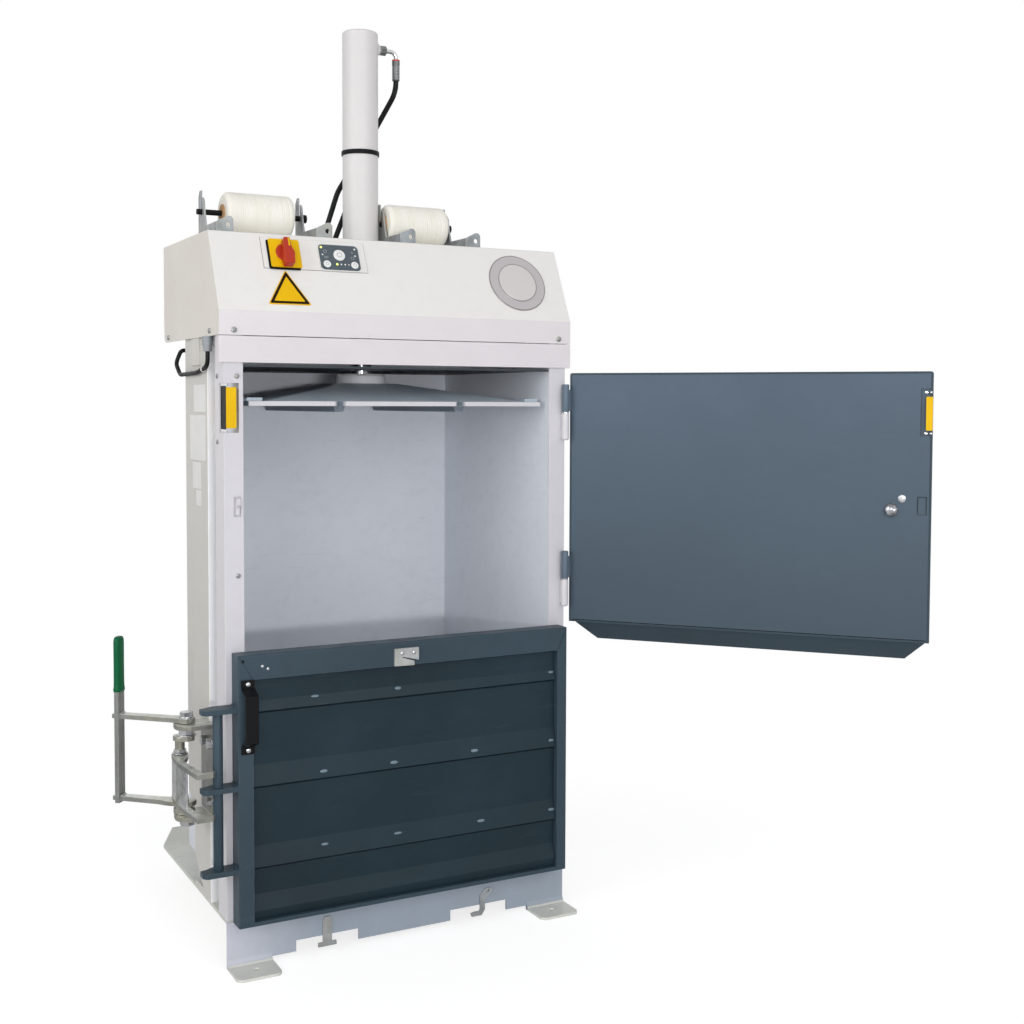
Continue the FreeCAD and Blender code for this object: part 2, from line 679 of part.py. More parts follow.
def build_hood():
    half = hood_half
    t = S.hood_t
    body = new_body("hood")
    pad(body, "YZ", [hood_profile(0)], -half, half)
    rear = y_at(S.hood_d)
    soften(body, 16, lambda e: along("X")(e) and e.BoundBox.YMin > float(rear) - 1
           and e.BoundBox.ZMax < float(S.hood_z) + 1)
    inner = hood_profile(t)
    inner[0] = (inner[0][0], S.hood_z - 1)
    inner[-1] = (inner[-1][0], S.hood_z - 1)
    pocket(body, "YZ", [inner], -half + t, half - t)
    pocket(body, "XY", [rect(-half + t, rear - t - 1, half - t, rear + 1)], S.hood_z - 1,
           S.hood_z + 17)
    top = hood_top
    holes = [(0, ram_at, S.barrel_r + 2), rect(-72, y_at(289), -34, y_at(325)),
             (80, y_at(299), 12)]
    pocket(body, "XY", holes, top - t - 2, top + 1)
    soften(body, 5, lambda e: along("X")(e) and e.BoundBox.XLength > float(half) * 2 - 1
           and e.BoundBox.ZMin > float(S.hood_z) + 30)
    node(body)

    body = new_body("fascia")
    y0 = y_at(-S.hood_lip)
    high = S.hood_z - S.fascia_seam
    seat, low = y_at(0), high - S.fascia_h
    channel = [(y0, low), (seat, low), (seat, low + t), (y0 + t, low + t), (y0 + t, high - t),
               (seat, high - t), (seat, high), (y0, high)]
    pad(body, "YZ", [channel], -half, half)
    for x0, x1 in ((-half, -half + t), (half - t, half)):
        pad(body, "XY", [rect(x0, y0 + t / 2, x1, y0 + 16)], low, high)
    node(body)

    node(on_slope(prism("control_cover", "XY", rect(-112, -37, 112, 33), 0, 2), -182, 123))
    plate = prism("main_switch_plate", "XY", rect(-32.5, -32.5, 32.5, 32.5), 2, 6)
    soften(plate, 4, along("Z"))
    node(on_slope(plate, -247, CONTROLS_UP))
    tri = [(-42.5, -38), (42.5, -38), (0, 38)]
    body = prism("warning_plate", "XY", tri, 0.3, 2.3)
    soften(body, 5, along("Z"))
    node(on_slope(body, -250.5, 49))
    panel = new_body("panel_plate")
    pad(panel, "XY", [rect(-43, -29, 43, 29)], 2, 5)
    soften(panel, 4, along("Z"))
    keys = [on_slope(panel, -128, CONTROLS_UP - 1)]
    for x, y, r in ((0, 5.5, 13), (-30, -17, 7.5), (31, -17, 7.5), (-30, 18, 4), (31, 18, 4)):
        keys.append(on_slope(turned("panel_key_%d" % len(keys),
                                    [(0, 5), (r, 5), (r, 5.8), (r - 1, 6.4), (0, 6.4)]),
                             -128, CONTROLS_UP - 1))
        shift = keys[-1].Placement.Rotation.multVec(FreeCAD.Vector(x, y, 0))
        keys[-1].Placement.Base = keys[-1].Placement.Base + shift
    node(group("control_panel", keys))
    node(on_slope(turned("badge_disc", [(0, 0), (69, 0), (69, 1), (67, 2), (48, 2), (46, 3.2),
                                        (0, 3.6)]), 285, 84))
    knob = new_body("switch_knob")
    pad(knob, "XY", [(0, 0, 17)], 6.3, 14)
    pad(knob, "XY", [[(-6, -24), (6, -24), (8, 0), (6, 24), (-6, 24), (-8, 0)]], 12, 30)
    soften(knob, 2.5, lambda e: e.BoundBox.ZMin > 29.9)
    node(on_slope(knob, -247, CONTROLS_UP))

    screws = []
    y0 = y_at(-S.hood_lip)
    for x in (20 - half_w, half_w - 20):
        screws.append(screw("hood_screw_%d" % len(screws), (x, y0, S.hood_z + 10), "-Y", 6, 3.5))
    for x, axis in ((-half, "-X"), (half, "X")):
        for back in (60, S.hood_d - 40):
            screws.append(screw("hood_screw_%d" % len(screws),
                                (x, y_at(back), S.hood_z + 10), axis, 6, 3.5))
    front = y_at(0)
    for x, z in ((-half_w + 27, switch_z + 63), (-half_w + 27.5, latch_z - 127)):
        screws.append(screw("column_screw_%d" % len(screws), (x, front, z), "-Y", 5, 3))
    for z in (switch_z + 63, switch_z - 68):
        screws.append(screw("column_screw_%d" % len(screws), (-half_w, front + 42, z), "-X", 5, 3))
    node(group("frame_screws", screws))


# ---------------------------------------------------------------- cylinder and ram

def build_ram():
    top = barrel_top
    r, b = S.barrel_r, S.bore_r
    seat = beam_z + S.beam_h
    gland = S.rod_r + S.run_fit
    profile = [(gland, barrel_z), (r - 2, barrel_z), (r, barrel_z + 2), (r, seat),
               (S.flange_r, seat), (S.flange_r, seat + 12), (r, seat + 12), (r, top - 3),
               (r - 3, top), (0, top), (0, top - 17), (b, top - 17), (b, barrel_z + 22),
               (gland, barrel_z + 22)]
    node(turned("cylinder_barrel", profile, (0, ram_at, 0)))
    z = top - 269
    band = [(r, z - 5), (r + 2.2, z - 5), (r + 2.8, z), (r + 2.2, z + 5), (r, z + 5)]
    node(turned("cylinder_band", band, (0, ram_at, 0)))

    piston_z = top - 17 - 34
    rod = [(0, boss_top - 30), (S.rod_r, boss_top - 30), (S.rod_r, piston_z),
           (b - S.run_fit, piston_z), (b - S.run_fit, piston_z + 28), (0, piston_z + 28)]
    node(turned("piston_rod", rod, (0, ram_at, 0)))

    half_p = half_open - S.platen_side
    half_d = S.chamber_d / 2 - S.platen_end
    y0, y1 = ram_at - half_d, ram_at + half_d
    z0, z1 = platen_z, platen_z + S.platen_t
    body = new_body("platen")
    outline = [(-half_p, y0)]
    for x in (-S.strap_x, S.strap_x):
        outline += [(x - S.strap_w / 2, y0), (x, y0 + 12), (x + S.strap_w / 2, y0)]
    rear_p = half_p - S.chamber_taper
    outline += [(half_p, y0), (rear_p, y1), (-rear_p, y1)]
    pad(body, "XY", [outline], z0, z1)
    for x in (-S.strap_x, S.strap_x):
        groove = [(x - S.strap_w / 2, z0), (x - S.strap_w / 2 + 4, z0 - 12),
                  (x + S.strap_w / 2 - 4, z0 - 12), (x + S.strap_w / 2, z0)]
        pad(body, "XZ", [groove], y0 + 12, y1)
    node(body)

    # the folded stiffening pyramid on the platen, four sloping sheets to the boss
    base_x, base_y = half_p - 36, half_d - 8
    peak = 62
    loft = new_body("platen_fold")
    low = sketch(loft, "XY", z1, [rect(-base_x, ram_at - base_y, base_x, ram_at + base_y)])
    high = sketch(loft, "XY", boss_top - 22,
                  [rect(-peak, ram_at - peak, peak, ram_at + peak)])
    skin = loft.newObject("PartDesign::AdditiveLoft", "Loft")
    skin.Profile = low
    skin.Sections = [high]
    skin.Ruled = True
    loft.Tip = skin
    socket = S.rod_r + S.seat_gap
    pocket(loft, "XY", [(0, ram_at, socket)], z1 - 1, boss_top)
    z2 = boss_top - 22
    boss = [(socket, z2), (S.boss_r, z2), (S.boss_r, z2 + 16), (S.boss_r - 6, z2 + 22),
            (socket, z2 + 22)]
    collar = turned("platen_boss", boss, (0, ram_at, 0))
    node(fuse("platen_pyramid", [loft, collar]))
    pads = []
    for side in (-1, 1):
        x0 = -half_p if side < 0 else half_p - 33
        pads.append(block("guide_pad_%d" % len(pads), x0, x0 + 33, y0 + 14, y0 + 60, z1, z1 + 7))
    node(group("guide_pads", pads))


def hose_end(name, turn, seat, top):
    """A stub out of the barrel with its elbow ball, and a crimped ferrule down to the hose."""
    arm = round_bar(name + "_arm", seat, "Y", 6, float(turn[1]) - float(seat[1]))
    drop = round_bar(name + "_drop", (turn[0], turn[1], top), "Z", 6, float(turn[2]) - top)
    ball = doc.addObject("Part::Sphere", name + "_ball")
    ball.Radius = 6.5
    place(ball, turn)
    return [arm, drop, ball]


FERRULE = [(0, -21), (8.5, -21), (9, -19), (9, -5), (8, -3), (9, -2), (9, 0), (0, 0)]


def build_hydraulics():
    x0, y0, z0 = float(S.barrel_r), float(ram_at), float(barrel_top) - 32
    elbow_x = x0 + 47
    nut = prism("port_nut", "YZ", hexagon(y0, z0, 22), x0 - 4, x0 + 16)
    arm = round_bar("port_arm", (x0 + 15, y0, z0), "X", 7, elbow_x - x0 - 15)
    drop = round_bar("port_drop", (elbow_x, y0, z0 - 21), "Z", 7, 21)
    ball = doc.addObject("Part::Sphere", "port_ball")
    ball.Radius = 7
    place(ball, (elbow_x, y0, z0))
    clear = round_bar("port_clear", (0, ram_at, z0 - 30), "Z", S.barrel_r, 60)
    fitting = fuse("port_body", [nut, arm, drop, ball])
    pieces = [cut("port_elbow", fitting, [clear])]
    sleeve = [(0, -43), (8.5, -43), (9, -41), (9, -12), (8, -10), (10.5, -9), (10.5, 0), (0, 0)]
    pieces.append(turned("hose_ferrule", sleeve, (elbow_x, y0, z0 - 21)))

    # two lower ports at the back of the barrel
    top = float(hood_top)
    port_y = float(y_at(299))
    for name, x, z in (("left_port", -10, top + 156), ("right_port", 26, top + 166)):
        stub = fuse(name + "_body", hose_end(name, (x, port_y, z), (x, y0 + 20, z), z - 7))
        clear = round_bar(name + "_clear", (0, ram_at, z - 30), "Z", S.barrel_r, 60)
        pieces.append(cut(name, stub, [clear]))
        pieces.append(turned(name + "_ferrule", FERRULE, (x, port_y, z - 7)))
    node(group("port_fitting", pieces))

    radius = float(S.hose_r)
    far = float(y_at(315))
    end_z = z0 - 64
    hoses = [cord("return_hose", [(elbow_x, y0, end_z), (elbow_x, y0, end_z - 25),
                                  (58, far, top + 278), (-30, far, top + 136),
                                  (-60, far - 2, top + 46), (-60, far - 2, top - 30)],
                  [60, 90, 110, 120], radius),
             cord("left_hose", [(-10, port_y, top + 128), (-10, port_y, top + 108),
                                (-43, port_y, top + 26), (-46, port_y, top - 30)],
                  [60, 60], radius),
             cord("right_hose", [(26, port_y, top + 138), (26, port_y, top + 116),
                                 (76, port_y, top + 56), (80, port_y, top - 30)],
                  [40, 60], radius)]
    node(group("hydraulic_hoses", hoses))


# ---------------------------------------------------------------- strap rolls

def build_rolls():
    y, z = y_at(S.roll_y), hood_top + S.roll_up
    top = hood_top
    t = S.bracket_t
    slot = S.axle_r + S.seat_gap
    outline = [(y - 112, top), (y + 24, top), (y + 24, z + 34),
               (y + 14, z + 46), (y + slot, z + 46), (y + slot, z - slot), (y - slot, z - slot),
               (y - slot, z + 30), (y - 14, z + 22), (y - 22, z - 10),
               (y - 30, top + 26), (y - 112, top + 26)]
    hole = (y - 70, top + 12, 4)
    plates, axles, turning = [], [], []
    side = -half_w
    for name, x0, x1, p0, p1 in (("left", side + 68, side + 218, side + 23, side + 239),
                                 ("right", 50, 196, 43, 203)):
        for x in (p0, p1):
            plate = new_body("strap_side_%d" % len(plates))
            pad(plate, "YZ", [outline, hole], x, x + t)
            ear = [(x, top), (x + 36, top), (x + 36, top + 32), (x + 31, top + 38),
                   (x + 24, top + 38), (x, top + 26)]
            pad(plate, "XZ", [ear, (x + 25, top + 20, 5)], y - 112, y - 112 + t)
            plates.append(plate)
        a0, a1 = (p0 - 10, p1 + 16) if name == "left" else (p0 - 1, p1 + 14)
        axle = [(0, 0), (S.axle_r, 0), (S.axle_r, a1 - a0 - 6), (9, a1 - a0 - 6),
                (9, a1 - a0), (0, a1 - a0)]
        axles.append(turned("strap_axle_" + name, axle, (a0, y, z), "X"))
        bore = S.axle_r + S.run_fit
        width = x1 - x0
        core = [(bore, -2), (S.core_r, -2), (S.core_r, width + 2), (bore, width + 2)]
        turning.append(turned("strap_core_" + name, core, (x0, y, z), "X"))
        inner = S.core_r + S.seat_gap
        roll = [(inner, 0), (S.roll_r - 2.5, 0), (S.roll_r, 2.5)]
        turns = 12
        step = (width - 5) / turns
        for i in range(turns):
            roll.append((S.roll_r, 2.5 + step * (i + 0.85)))
            if i < turns - 1:
                roll.append((S.roll_r - 0.6, 2.5 + step * (i + 1)))
        roll += [(S.roll_r, width - 2.5), (S.roll_r - 2.5, width), (inner, width)]
        turning.append(turned("strap_roll_" + name, roll, (x0, y, z), "X"))
    node(group("strap_brackets", plates))
    node(group("strap_axles", axles))
    for piece in turning:
        node(piece)


# ---------------------------------------------------------------- column fittings

def build_column_fittings():
    front = y_at(0)
    left = -half_w + S.sheet_t + S.seat_gap
    unit = prism("interlock_switch", "XZ",
                 rect(left, switch_z - 40, left + 20.5, switch_z + 41), front - 3, front + 48)
    soften(unit, 3, along("Y"))
    node(unit)
    catch = new_body("door_catch")
    inside = front + S.sheet_t
    z = latch_z
    pad(catch, "YZ", [[(inside + 1, z - 5), (inside + 1, z + 27), (front - 12, z + 27),
                       (front - 12, z + 15), (front - 4, z + 9), (front - 4, z - 5)]],
        -half_w + 23, -half_w + 30)
    pad(catch, "YZ", [rect(inside, z - 21, inside + 4, z + 43)], -half_w + 16, -half_w + 35)
    node(catch)


# ---------------------------------------------------------------- loading door

def knuckle(label, z0, z1, radius, bore, x, y, taper=0):
    """A hinge knuckle ring, its lower end tapering into the weld where asked."""
    profile = [(bore, z0), (radius - taper, z0), (radius, z0 + taper), (radius, z1 - 1.5),
               (radius - 1.5, z1), (bore, z1)]
    if not taper:
        profile = [(bore, z0), (radius, z0), (radius, z1 - 1.5), (radius - 1.5, z1), (bore, z1)]
    return turned(label, profile, (x, y, 0))


def build_loading_door():
    hx, hy = hinge_x, y_at(-S.hinge_y)
    r = S.knuckle_r
    fixed, pins, moving, washers = [], [], [], []
    high, low = door_z1 - 89, door_z0 + 97
    stations = [(mid - 61, mid, mid + 63.5) for mid in (high, low)]
    for i, (z0, zm, z1) in enumerate(stations):
        ring = knuckle("door_knuckle_low_%d" % i, z0, zm, r, S.pin_r, hx, hy, 3)
        web = block("door_knuckle_web_%d" % i, hx - 3, hx + 3, hy + r - 1.5, y_at(0), z0 + 6, zm - 3)
        fixed.append(fuse("door_knuckle_fixed_%d" % i, [ring, web]))
        pins.append(round_bar("door_pin_%d" % i, (hx, hy, z0), "Z", S.pin_r, z1 - 4 - z0))
        washers.append(turned("door_washer_%d" % i,
                              [(S.pin_r, zm), (r - 0.8, zm), (r - 0.8, zm + 1.8), (S.pin_r, zm + 1.8)],
                              (hx, hy, 0)))
    low_fixed, low_pins = build_lower_hinge()
    node(group("hinge_knuckles", fixed + low_fixed))
    node(group("hinge_pins", pins + washers + low_pins))

    # The door is drawn closed, then turned open about its hinge axis.
    x0, x1 = hx - door_len, hx - 5
    face = hy - S.door_in
    outer = face - S.door_t
    st = S.skin_t
    z0, z1 = door_z0, door_z1
    for i, (lo, zm, hi) in enumerate(stations):
        ring = knuckle("door_leaf_ring_%d" % i, zm + 2, hi, r, S.pin_r + S.run_fit, hx, hy)
        leaf = block("door_leaf_%d" % i, x1, hx, hy - r, hy - r + 5, zm + 4, hi - 12)
        strap = block("door_leaf_strap_%d" % i, x1 - 4, x1, face, hy - r + 5, zm + 4, hi - 12)
        hole = round_bar("door_leaf_hole_%d" % i, (hx, hy, zm), "Z", S.pin_r + S.run_fit, hi - zm)
        moving.append(cut("door_knuckle_moving_%d" % i,
                          fuse("door_leaf_body_%d" % i, [ring, leaf, strap]), [hole]))
    pan = new_body("loading_door_pan")
    pad(pan, "XZ", [rect(x0, z0, x1, z1)], outer, face)
    soften(pan, 5, lambda e: along("Y")(e) and e.BoundBox.ZMin > float(z1) - 10)
    pocket(pan, "XZ", [rect(x0 + 4, z0 + 4, x1 - 4, z1 - 4)], outer + st, face + 1)
    lip0, lip1 = x0 + 10, x1 - 12
    drop, out = S.lip_drop, S.lip_out
    lip = [(outer, z0 + 3), (outer, z0), (outer - out, z0 - drop),
           (outer - out + 2.2, z0 - drop - 1.8), (outer + st, z0 - 1), (outer + st, z0 + 3)]
    pad(pan, "YZ", [lip], lip0, lip1)
    for edge, way in ((lip0, 1), (lip1, -1)):
        wedge = [(edge - way * 1, z0 - 5), (edge + way * 1, z0 - 5), (edge + way * 42, z0 - drop - 3),
                 (edge - way * 1, z0 - drop - 3)]
        pocket(pan, "XZ", [wedge], outer - out - 2, outer + st + 1)
    soften(pan, 1.5, lambda e: along("X")(e) and e.BoundBox.XLength > float(x1 - x0) * 0.9
           and abs(e.BoundBox.YMin - float(outer)) < 0.1 and e.BoundBox.ZMin > float(z1) - 10)
    latch_x = x0 + S.latch_in
    pocket(pan, "XZ", [(latch_x, latch_z, 9 + S.run_fit)], outer - 1, face + 1)

    liner = new_body("loading_door_liner")
    g = S.seat_gap
    panel = rect(x0 + 4 + g, z0 + 4 + g, x1 - 4 - g, z1 - 4 - g)
    pad(liner, "XZ", [panel], outer + st, face - 0.6)
    # recesses for the column catch and round the switch key
    pocket(liner, "XZ", [rect(x0 + 9, latch_z - 9, x0 + 28, latch_z + 29)], outer + st + 2, face + 1)
    pocket(liner, "XZ", [rect(x0 + 4, switch_z - 54, x0 + 24, switch_z + 44)], face - 5, face + 1)
    pocket(liner, "XZ", [(latch_x, latch_z, 9 + S.run_fit)], outer, face + 1)

    key = prism("switch_key", "XZ", rect(x0, switch_z - 42, x0 + 13, switch_z + 27), face, face + 5)
    soften(key, 2, along("Y"))
    key_screws = []
    for z in (switch_z + 36, switch_z - 48):
        key_screws.append(screw("key_screw_%d" % len(key_screws), (x0 + 13, face - 5, z),
                                "Y", 4, 2.5))
    key_screws.append(screw("latch_disc", (latch_x - 21, face - 0.6, latch_z + 24),
                            "Y", 8, 2))

    spindle = new_body("latch_spindle")
    pad(spindle, "XZ", [(latch_x, latch_z, 9)], outer - 14, face + 2)
    pad(spindle, "XZ", [(latch_x, latch_z, 14)], face - 0.4, face + 3)
    pad(spindle, "XZ", [(latch_x, latch_z, 10)], face + 3, face + 8)
    soften(spindle, 3, lambda e: abs(e.BoundBox.YMin - float(face + 8)) < 0.01
           and abs(e.BoundBox.YMax - float(face + 8)) < 0.01)
    handle = new_body("latch_handle")
    pad(handle, "XZ", [(latch_x, latch_z, 20), (latch_x, latch_z, 9.3)],
        outer - 12, outer - 0.5)
    grip = rect(latch_x - 9, latch_z - 130, latch_x + 9, latch_z - 16)
    pad(handle, "XZ", [grip], outer - 12, outer - 4)
    soften(handle, 5, lambda e: along("Y")(e) and e.BoundBox.ZMax < float(latch_z) - 100)

    door = [group("loading_hinge_leaves", moving), pan, liner, key,
            group("door_screws", key_screws), spindle, handle]
    for piece in door:
        node(spin_about(piece, hx, hy, S.door_open))


# ---------------------------------------------------------------- lower door

def build_lower_door():
    x0, x1 = S.lower_in_l - half_w, half_w - S.lower_in_r
    back = y_at(-S.door_gap)
    front = back - S.lower_t
    z0, z1 = S.lower_z0, S.lower_z1
    left, right = x0 + S.stile_w, x1 - S.stile_r
    foot, head = z0 + S.foot_rail_h, z1 - S.rail_h
    body = new_body("lower_door_frame")
    opening = rect(left, foot, right, head)
    pad(body, "XZ", [rect(x0, z0, x1, z1), opening], front, back)
    soften(body, 2.5, lambda e: e.BoundBox.YMax < float(front) + 0.01
           and (e.BoundBox.ZMin > float(z1) - 0.01 or e.BoundBox.XMax < float(x0) + 0.01
                or e.BoundBox.XMin > float(x1) - 0.01))
    node(body)

    # infill sheet behind the frame opening: three ribs, a groove under the top rail
    g = S.seat_gap
    depth = front + 14
    profile = [(back, foot + g), (front + 10, foot + g), (front + 6, foot + 20),
               (depth, foot + 52)]
    for line, lap in ((208, 42), (372, 42), (523, 20)):
        profile += [(depth, line - 3), (depth + 4, line), (front + 5, line + 3),
                    (depth, line + 3 + lap)]
    profile += [(depth, head - 3), (depth + 12, head - 3), (depth + 12, head - g), (back, head - g)]
    node(prism("lower_door_infill", "YZ", profile, left + g, right - g))

    # grab handle on the left stile
    gx, gz = x0 + 6, z0 + 350
    strip = [(0, 0), (-5, 0), (-5, 15), (-34, 27), (-34, 120), (-5, 132), (-5, 147), (0, 147),
             (0, 130), (-29, 117), (-29, 30), (0, 17)]
    grab = prism("grab_handle", "YZ", [(front + y, gz + z) for y, z in strip], gx, gx + 26)
    soften(grab, 1.5, lambda e: e.BoundBox.YMax < float(front) - 33)
    node(grab)

    # keeper plate on the top rail, with a slanting slot open to the right
    shape = [(-45, -49), (0, -50), (0, -41), (-27, -32.5), (-27, -30.5), (10, -39.5), (10, -13),
             (-45, -13)]
    node(prism("strap_plate", "XZ", [(x, z1 + z) for x, z in shape], front - 6, front))

    # lock rod with its welded brackets
    lx, ly = -half_w - S.lock_rod_out, y_at(-S.lock_rod_y)
    plates = [round_bar("lock_bar", (lx, ly, 203), "Z", S.lock_rod_r, 335)]
    for z in (533, 376, 210):
        shape = [(x0, front + 1), (x0, back - 1), (lx - 8, back - 1), (lx - 22, ly + 10),
                 (lx - 35, ly + 6), (lx - 35, ly - 12), (lx - 28, front + 1)]
        plates.append(prism("lock_rod_plate_%d" % len(plates), "XY",
                            [shape, (lx, ly, S.lock_rod_r + S.seat_gap)], z - 5, z + 5))
    node(group("lock_rod", plates))


def build_lower_hinge():
    """Knuckles on the door's right side over fixed ones on the column."""
    x1 = half_w - S.lower_in_r
    hx, hy = half_w - S.lower_hinge_in, y_at(-S.lower_hinge_y)
    r = S.lower_knuckle_r
    fixed, moving, pins = [], [], []
    for i, mid in enumerate((S.lower_z0 + 140, S.lower_z1 - 106)):
        lo, hi = mid - 55, mid + 55
        ring = knuckle("lower_ring_low_%d" % i, lo, mid, r, S.pin_r, hx, hy)
        web = block("lower_web_low_%d" % i, hx - 3, hx + 3, hy + r - 1.5, y_at(0), lo + 3, mid - 3)
        fixed.append(fuse("lower_fixed_%d" % i, [ring, web]))
        ring = knuckle("lower_ring_high_%d" % i, mid + 0.5, hi, r, S.pin_r + S.run_fit, hx, hy)
        web = block("lower_web_high_%d" % i, x1, hx - r + 1.5, hy - 3, hy + 3, mid + 4, hi - 4)
        moving.append(fuse("lower_moving_%d" % i, [ring, web]))
        pins.append(round_bar("lower_pin_%d" % i, (hx, hy, lo), "Z", S.pin_r, hi - 4 - lo))
    node(group("lower_hinge_leaves", moving))
    return fixed, pins


# ---------------------------------------------------------------- door lock

def build_lock():
    ax, ay = -half_w - S.lever_out, y_at(S.lever_y)
    wall = -post_x
    st = S.support_t
    lo0, hi0 = 284, 472
    shaft = S.lever_shaft_r + S.run_fit
    plates = []
    for z in (lo0, hi0):
        outline = [(wall, ay - 38), (wall, ay + 32), (ax, ay + 32), (ax - 16, ay + 26),
                   (ax - 24, ay + 12), (ax - 26, ay - 4), (ax - 24, ay - 18), (ax - 16, ay - 30),
                   (ax, ay - 38)]
        plates.append(prism("lock_support_%d" % len(plates), "XY", [outline, (ax, ay, shaft)],
                            z, z + st))
    back_plate = block("lock_back", wall - 5, wall, ay - 60, ay + 40, lo0 + st, hi0)
    node(fuse("lock_supports", plates + [back_plate]))

    bolts = []
    for shift, z in ((1, 442), (-44, 442), (-44, 324)):
        bolts.append(hex_bolt("lock_bolt_%d" % len(bolts), (wall - 5, ay + shift, z), "-X",
                              17, 11))
    node(group("lock_bolts", bolts))

    # crank: stub shafts in the supports, crank plates and the eccentric pin
    angle = math.radians(float(S.crank_angle))
    bx = float(ax) + float(S.throw) * math.cos(angle)
    by = float(ay) + float(S.throw) * math.sin(angle)
    body = new_body("lever_crank")
    web = capsule(float(ax), float(ay), 17, bx, by, 14)
    pad(body, "XY", [web], 446, 456)
    pad(body, "XY", [(bx, by, S.crank_pin_r)], 300, 446)
    pad(body, "XY", [web], 295, 305.7)
    pad(body, "XY", [(ax, ay, S.lever_shaft_r)], 305, 321)
    pad(body, "XY", [(ax, ay, S.lever_shaft_r)], 284, 295)
    pad(body, "XY", [(ax, ay, S.lever_shaft_r)], 456, 493)
    node(body)

    # lever: two flat arms and the upright bar
    turn = math.radians(float(S.lever_angle))
    ux, uy = math.cos(turn), math.sin(turn)
    vx, vy = -uy, ux

    def arm_point(u, v):
        return (float(ax) + u * ux + v * vx, float(ay) + u * uy + v * vy)

    length = float(S.lever_len)
    hub = [(-16, -8), (-8, -16), (8, -16), (30, -12), (length + 12, -9), (length + 12, 9),
           (30, 12), (8, 16), (-8, 16), (-16, 8)]
    outline = [arm_point(u, v) for u, v in hub]
    body = new_body("lever_frame")
    pad(body, "XY", [outline, (ax, ay, S.lever_shaft_r + S.seat_gap)], 483, 493)
    low_hub = [(-17, -9), (-9, -17), (10, -17), (34, -15), (60, -12), (length + 12, -9),
               (length + 12, 9), (60, 12), (42, 16), (10, 18), (-9, 17), (-17, 9)]
    outline = [arm_point(u, v) for u, v in low_hub]
    pad(body, "XY", [outline], 311, 321)
    pocket(body, "XY", [(ax, ay, S.lever_shaft_r + S.seat_gap)], 310, 322)
    pocket(body, "XY", [(bx, by, S.crank_pin_r + S.seat_gap)], 310, 322)
    bar = [arm_point(u, v) for u, v in ((length - 5, -12.5), (length + 5, -12.5),
                                        (length + 5, 12.5), (length - 5, 12.5))]
    pad(body, "XY", [bar], 306, 644)
    node(body)
    g = 0.3
    grip = new_body("lever_grip")
    outer = [arm_point(length + u, v) for u, v in ((-8, -15), (8, -15), (8, 15), (-8, 15))]
    pad(grip, "XY", [outer], 539, 654)
    soften(grip, 4, along("Z"))
    hollow = [arm_point(length + u, v) for u, v in ((-5 - g, -12.5 - g), (5 + g, -12.5 - g),
                                                    (5 + g, 12.5 + g), (-5 - g, 12.5 + g))]
    pocket(grip, "XY", [hollow], 538, 644 + g)
    soften(grip, 3.5, lambda e: e.BoundBox.ZMin > 653.9)
    node(grip)
    node(hex_bolt("lever_bolt", (ax, ay, 493), "Z", 24, 12))

    # claw: two hooked flanges on the crank pin and the web between them
    way = math.radians(-float(S.claw_angle))
    cx, cy = math.cos(way), math.sin(way)
    sx, sy = -cy, cx

    def claw_point(s, side):
        return (bx + s * cx + side * sx, by + s * cy + side * sy)

    reach = float(S.claw_reach)
    hook = [(-13, -9), (-9, -15), (0, -17), (20, -21), (64, -27), (reach + 10, -27),
            (reach + 10, 6), (reach + 4, 12), (reach, 12), (reach, -12), (62, -13), (30, 6),
            (14, 13), (4, 16), (-8, 14), (-14, 6)]
    outline = [claw_point(s, side) for s, side in hook]
    pin = S.crank_pin_r + S.run_fit
    body = new_body("claw")
    for z in (322, 408):
        pad(body, "XY", [outline, (bx, by, pin)], z, z + 10)
    web = [claw_point(s, side) for s, side in ((16, -19.8), (62, -26.5), (62, -20.5), (18, -14))]
    pad(body, "XY", [web], 332, 408)
    node(body)


def capsule(x0, y0, r0, x1, y1, r1, count=7):
    """A closed outline round two circles."""
    lean = math.atan2(y1 - y0, x1 - x0)
    tilt = math.acos((r0 - r1) / math.hypot(x1 - x0, y1 - y0))
    points = []
    for i in range(count):
        a = lean - tilt + 2 * tilt * i / (count - 1)
        points.append((x1 + r1 * math.cos(a), y1 + r1 * math.sin(a)))
    for i in range(count):
        a = lean + tilt + (2 * math.pi - 2 * tilt) * i / (count - 1)
        points.append((x0 + r0 * math.cos(a), y0 + r0 * math.sin(a)))
    return points


# ---------------------------------------------------------------- conduit loop

def build_conduit():
    xs = float(-post_x) - float(S.conduit_r) - 2.5
    x0 = xs + 1.5
    y = y_at(85)
    z0 = float(S.hood_z)
    rear = float(y_at(S.post_y + S.post_w)) + 46
    wall = -float(wall_x(rear - float(S.front_y)))
    loop = [(x0, float(y), z0), (x0, float(y), z0 - 60), (xs, float(y) + 80, z0 - 72),
            (xs, rear - 30, z0 - 74), (xs, rear + 6, z0 - 48), (xs + 10, rear, z0 - 20),
            (wall - 0.2, rear, z0 - 20)]
    bends = [20, 200, 40, 16, 10]
    node(cord("conduit_loop", loop, bends, float(S.conduit_r)))
    r = S.conduit_r + S.seat_gap
    gland = [(r, -20), (9, -20), (9, -8), (11, -8), (11, 10), (r, 10)]
    top = turned("conduit_gland_top", gland, (x0, y, z0 - 10))
    ring = [(r, 0), (11, 0), (11, 6), (8, 7), (8, 12), (r, 12)]
    end = turned("conduit_gland_end", ring, (wall - 0.5, rear, z0 - 20), "-X")
    node(group("conduit_fittings", [top, end]))


def build():
    build_base()
    build_frame()
    build_hood()
    build_ram()
    build_hydraulics()
    build_rolls()
    build_column_fittings()
    build_loading_door()
    build_lower_door()
    build_lock()
    build_conduit()


build()
doc.recompute()

